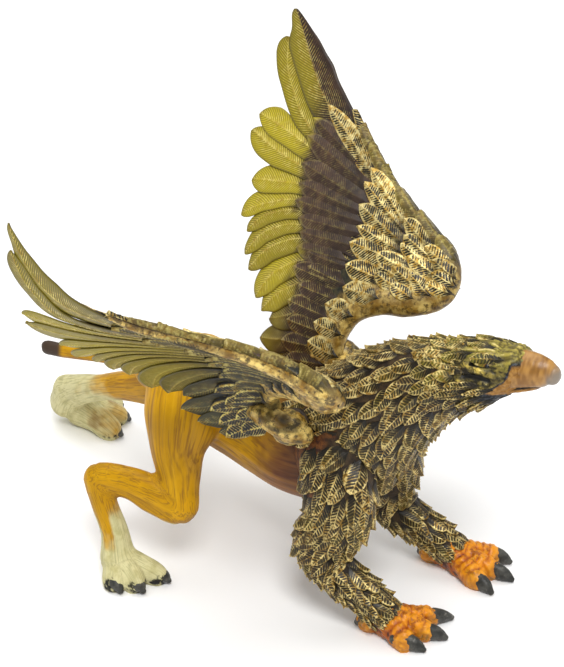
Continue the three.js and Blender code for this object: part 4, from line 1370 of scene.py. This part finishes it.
# From this number on, the brown coverts have barbs cut as deep as the gold ones.
FIRST_HATCHED = 9
EDGE_COVERTS = [
    ([19.6, 46.2], [9, 38.8], 1.9),
    ([9.8, 39.8], [1.6, 34.6], 1.6),
    ([15, 42.6], [4, 36.2], 1.8),
    ([3.6, 36.2], [-6.4, 31], 1.9),
    ([-3.2, 33.4], [-12.4, 28.8], 1.9),
    ([-9.9, 30.2], [-15.6, 26.8], 1.6),
]
leaf_gold = feather_paint(
    "gold brushed over black-green enamel",
    ("#1E2118", "#4A4326"),
    ("#B8913A", "#F4E098"),
    lean=0.14,
    patchy=0.5,
    root=(0.05, 0.42),
)
GOLD_LONGER, GOLD_WIDER = 0.14, 1.06
gold_leaves = []
for tip, quill, half in GOLD_COVERTS:
    masks = {"tone": dice.uniform(0.1, 1), "gold": dice.uniform(0.6, 1)}
    quill = np.array(quill) + GOLD_LONGER * (np.array(quill) - tip)
    lift, deep = dice.uniform(0.55, 0.85), dice.uniform(0.45, 0.9)
    gold_leaves.append(covert(tip, quill, GOLD_WIDER * half, masks, lift, deep))
both_wings("gold_coverts", gold_leaves, leaf_gold)
brown_leaves = []
for number, (tip, quill, half) in enumerate(BROWN_COVERTS):
    hatched = number >= FIRST_HATCHED
    masks = {"tone": dice.uniform(0.2, 0.9), "gold": 0.3 if hatched else 0.12, "navy": 0.0}
    deep, relief = (0.9, 0.1 * MM) if hatched else (0.5, 0.06 * MM)
    brown_leaves.append(covert(tip, quill, half, masks, 0.35, deep, olive=1.0, relief=relief))
for tip, quill, half in EDGE_COVERTS:
    masks = {"tone": dice.uniform(0.2, 0.9), "gold": 0.35, "navy": 0.0}
    brown_leaves.append(covert(tip, quill, half, masks, 0.6, 0.2, relief=0.06 * MM))
    brown_leaves[-1][2]["olive"][:] = 0.2
both_wings("brown_coverts", brown_leaves, wing_paint)

# Under coverts: the same leaves under each wing, one on each flight feather's base, painted brown and
# blue-black. Round the root lie the scapulars, which stand out further and are brushed with more gold.
SCAPULARS = [
    ([14.5, -0.5], [5, 1.5]),
    ([13.2, -4.2], [4.4, -0.8]),
    ([12, -7.4], [4.2, -3]),
    ([11, 2.4], [2.6, 4]),
    ([9.4, -2], [2, 0.2]),
    ([8.6, -5.4], [2.2, -3]),
    ([12.4, 6.6], [3.4, 7.4]),
    ([8.6, 5], [1.4, 6]),
]
under_leaves = []
for number in range(1, len(FLIGHT)):
    one = strip(FLIGHT[number])
    near, far = along_strip(one, np.array([0.05, 0.4 + 0.06 * (number % 2)]) * one[2][-1])[0]
    masks = {"gold": 0.55, "tone": dice.uniform(0, 0.5), "navy": 0.35 + 0.5 * (number > 6)}
    under_leaves.append(covert(far, near, 2.3, masks, 0.4, 0.8, below=True))
    under_leaves[-1][2]["olive"][:] = 0.4
for tip, quill in SCAPULARS:
    masks = {"gold": 0.95, "tone": dice.uniform(0, 1), "navy": 0.9}
    under_leaves.append(covert(tip, quill, 2.1, masks, 1.3, 1.0, below=True))
both_wings("under_coverts", under_leaves, wing_paint)

# Wing foot: each wing ends in a lumpy gold knuckle with a hollow in its top, moulded with the wing. It
# sits flat on a round pad, moulded with the shoulder and left in the near-black under-paint.
SEAT = [9.8, -8.4, 41.6]
SEAT_FACE = unit(np.array([0.86, -0.06, 0.5]))


def discs(*sizes):
    """Stations of a round pad along the seat's axis, each from its distance and its radius."""
    return [[*(np.array(SEAT) + SEAT_FACE * distance), radius, radius] for distance, radius in sizes]


KNUCKLE = [
    [13, -12.6, 42.8, 1.9, 2.1],
    [14, -9.8, 44, 2.6, 2.8],
    [14.8, -6.6, 45.4, 2.6, 2.7],
    [14.2, -3.4, 45.4, 2.1, 2.3],
    [12.8, -0.6, 44.6, 1.4, 1.6],
]
FOOT_HOLLOW = [15.6, -9.6, 47.4]
seat = loft(discs((1.75, 3.5), (2.6, 3.7), (4.2, 3.2)), 32, 4, side=(0, 1, 0))
boss = one_skin("wing_boss", [seat, loft(KNUCKLE, 28)], voxel=0.4 * MM, rounds=3)
boss_verts, out, _ = surface(boss)
lumps = noise(boss_verts / (1.9 * MM), 61) - 0.5 + 0.6 * (noise(boss_verts / (0.8 * MM), 62) - 0.5)
hollow = np.exp(-((gap_to(boss_verts, [FOOT_HOLLOW]) / (2 * SHARE)) ** 2))
boss_verts = boss_verts + out * (0.4 * MM * lumps - 1.2 * MM * hollow)[:, None]
below_seat = np.minimum((boss_verts - place(SEAT) - SEAT_FACE * 1.5 * MM) @ SEAT_FACE, 0)
boss_verts = boss_verts - below_seat[:, None] * SEAT_FACE
boss_faces = faces_of(boss)
bpy.data.objects.remove(boss)
patches = step(0.55, 0.3, noise(boss_verts / (1.5 * MM), 63))
boss_masks = {
    "grooves": 0.6 * (1 - hollow**0.7),
    "outer": 0 * hollow,
    "bare": 1 - np.maximum(0.9 * hollow, 0.7 * patches),
}
both_wings("wing_boss", [(boss_verts, boss_faces, boss_masks)], gold_enamel)
pad_rows = discs((-4, 3.8), (-2, 3.8), (0.98, 3.8))
pads = []
for sign in (1, -1):
    verts, faces = loft(pad_rows, 32, 2, side=(0, 1, 0), ends=2)
    over = np.maximum((verts - place(SEAT)) @ SEAT_FACE - 1.2 * MM, 0)
    verts = (verts - over[:, None] * SEAT_FACE) * [sign, 1, 1]
    pads.append((verts, [f[::sign] for f in faces]))
seats = mesh_object("shoulder_pads", *joined(pads), under_paint)
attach(seats, "root")

# Stage: the toy stands on a wide sheet of white paper in a pale room. Three round soft boxes light it,
# from high on its right, low on its left front and nearly overhead.
floor = mesh_object("floor", [(-3, -3, 0), (3, -3, 0), (3, 3, 0), (-3, 3, 0)], [(0, 1, 2, 3)])
# Matt white paper: no gloss, so it takes only the toy's soft shadow.
paper, tree = new_material("white paper")
shader = add(tree, "BsdfPrincipled", {"Base Color": linear("#FBFBFB"), "Roughness": 0.9})
add(tree, "OutputMaterial", {"Surface": shader.outputs[0]})
floor.data.materials.append(paper)


def soft_box(name, place_at, size, power):
    """A round light turned towards what the camera aims at."""
    light = bpy.data.lights.new(name, "AREA")
    light.shape = "DISK"
    light.size = size
    light.energy = power
    made = bpy.data.objects.new(name, light)
    made.location = place_at
    made.rotation_mode = "QUATERNION"
    made.rotation_quaternion = (CAMERA_AIM - Vector(place_at)).to_track_quat("-Z", "Y")
    bpy.context.scene.collection.objects.link(made)


soft_box("key", (-0.42, -0.3, 0.8), 0.36, 5.6)
soft_box("fill", (0.5, -0.6, 0.45), 0.7, 1.3)
soft_box("top", (0.1, 0.25, 0.9), 0.8, 4.2)
world = bpy.data.worlds.new("pale room")
world.use_nodes = True
room_light = world.node_tree.nodes["Background"]
room_light.inputs["Color"].default_value = linear("#FFFFFF")
room_light.inputs["Strength"].default_value = 0.5
bpy.context.scene.world = world
bpy.context.scene.view_settings.view_transform = "Standard"
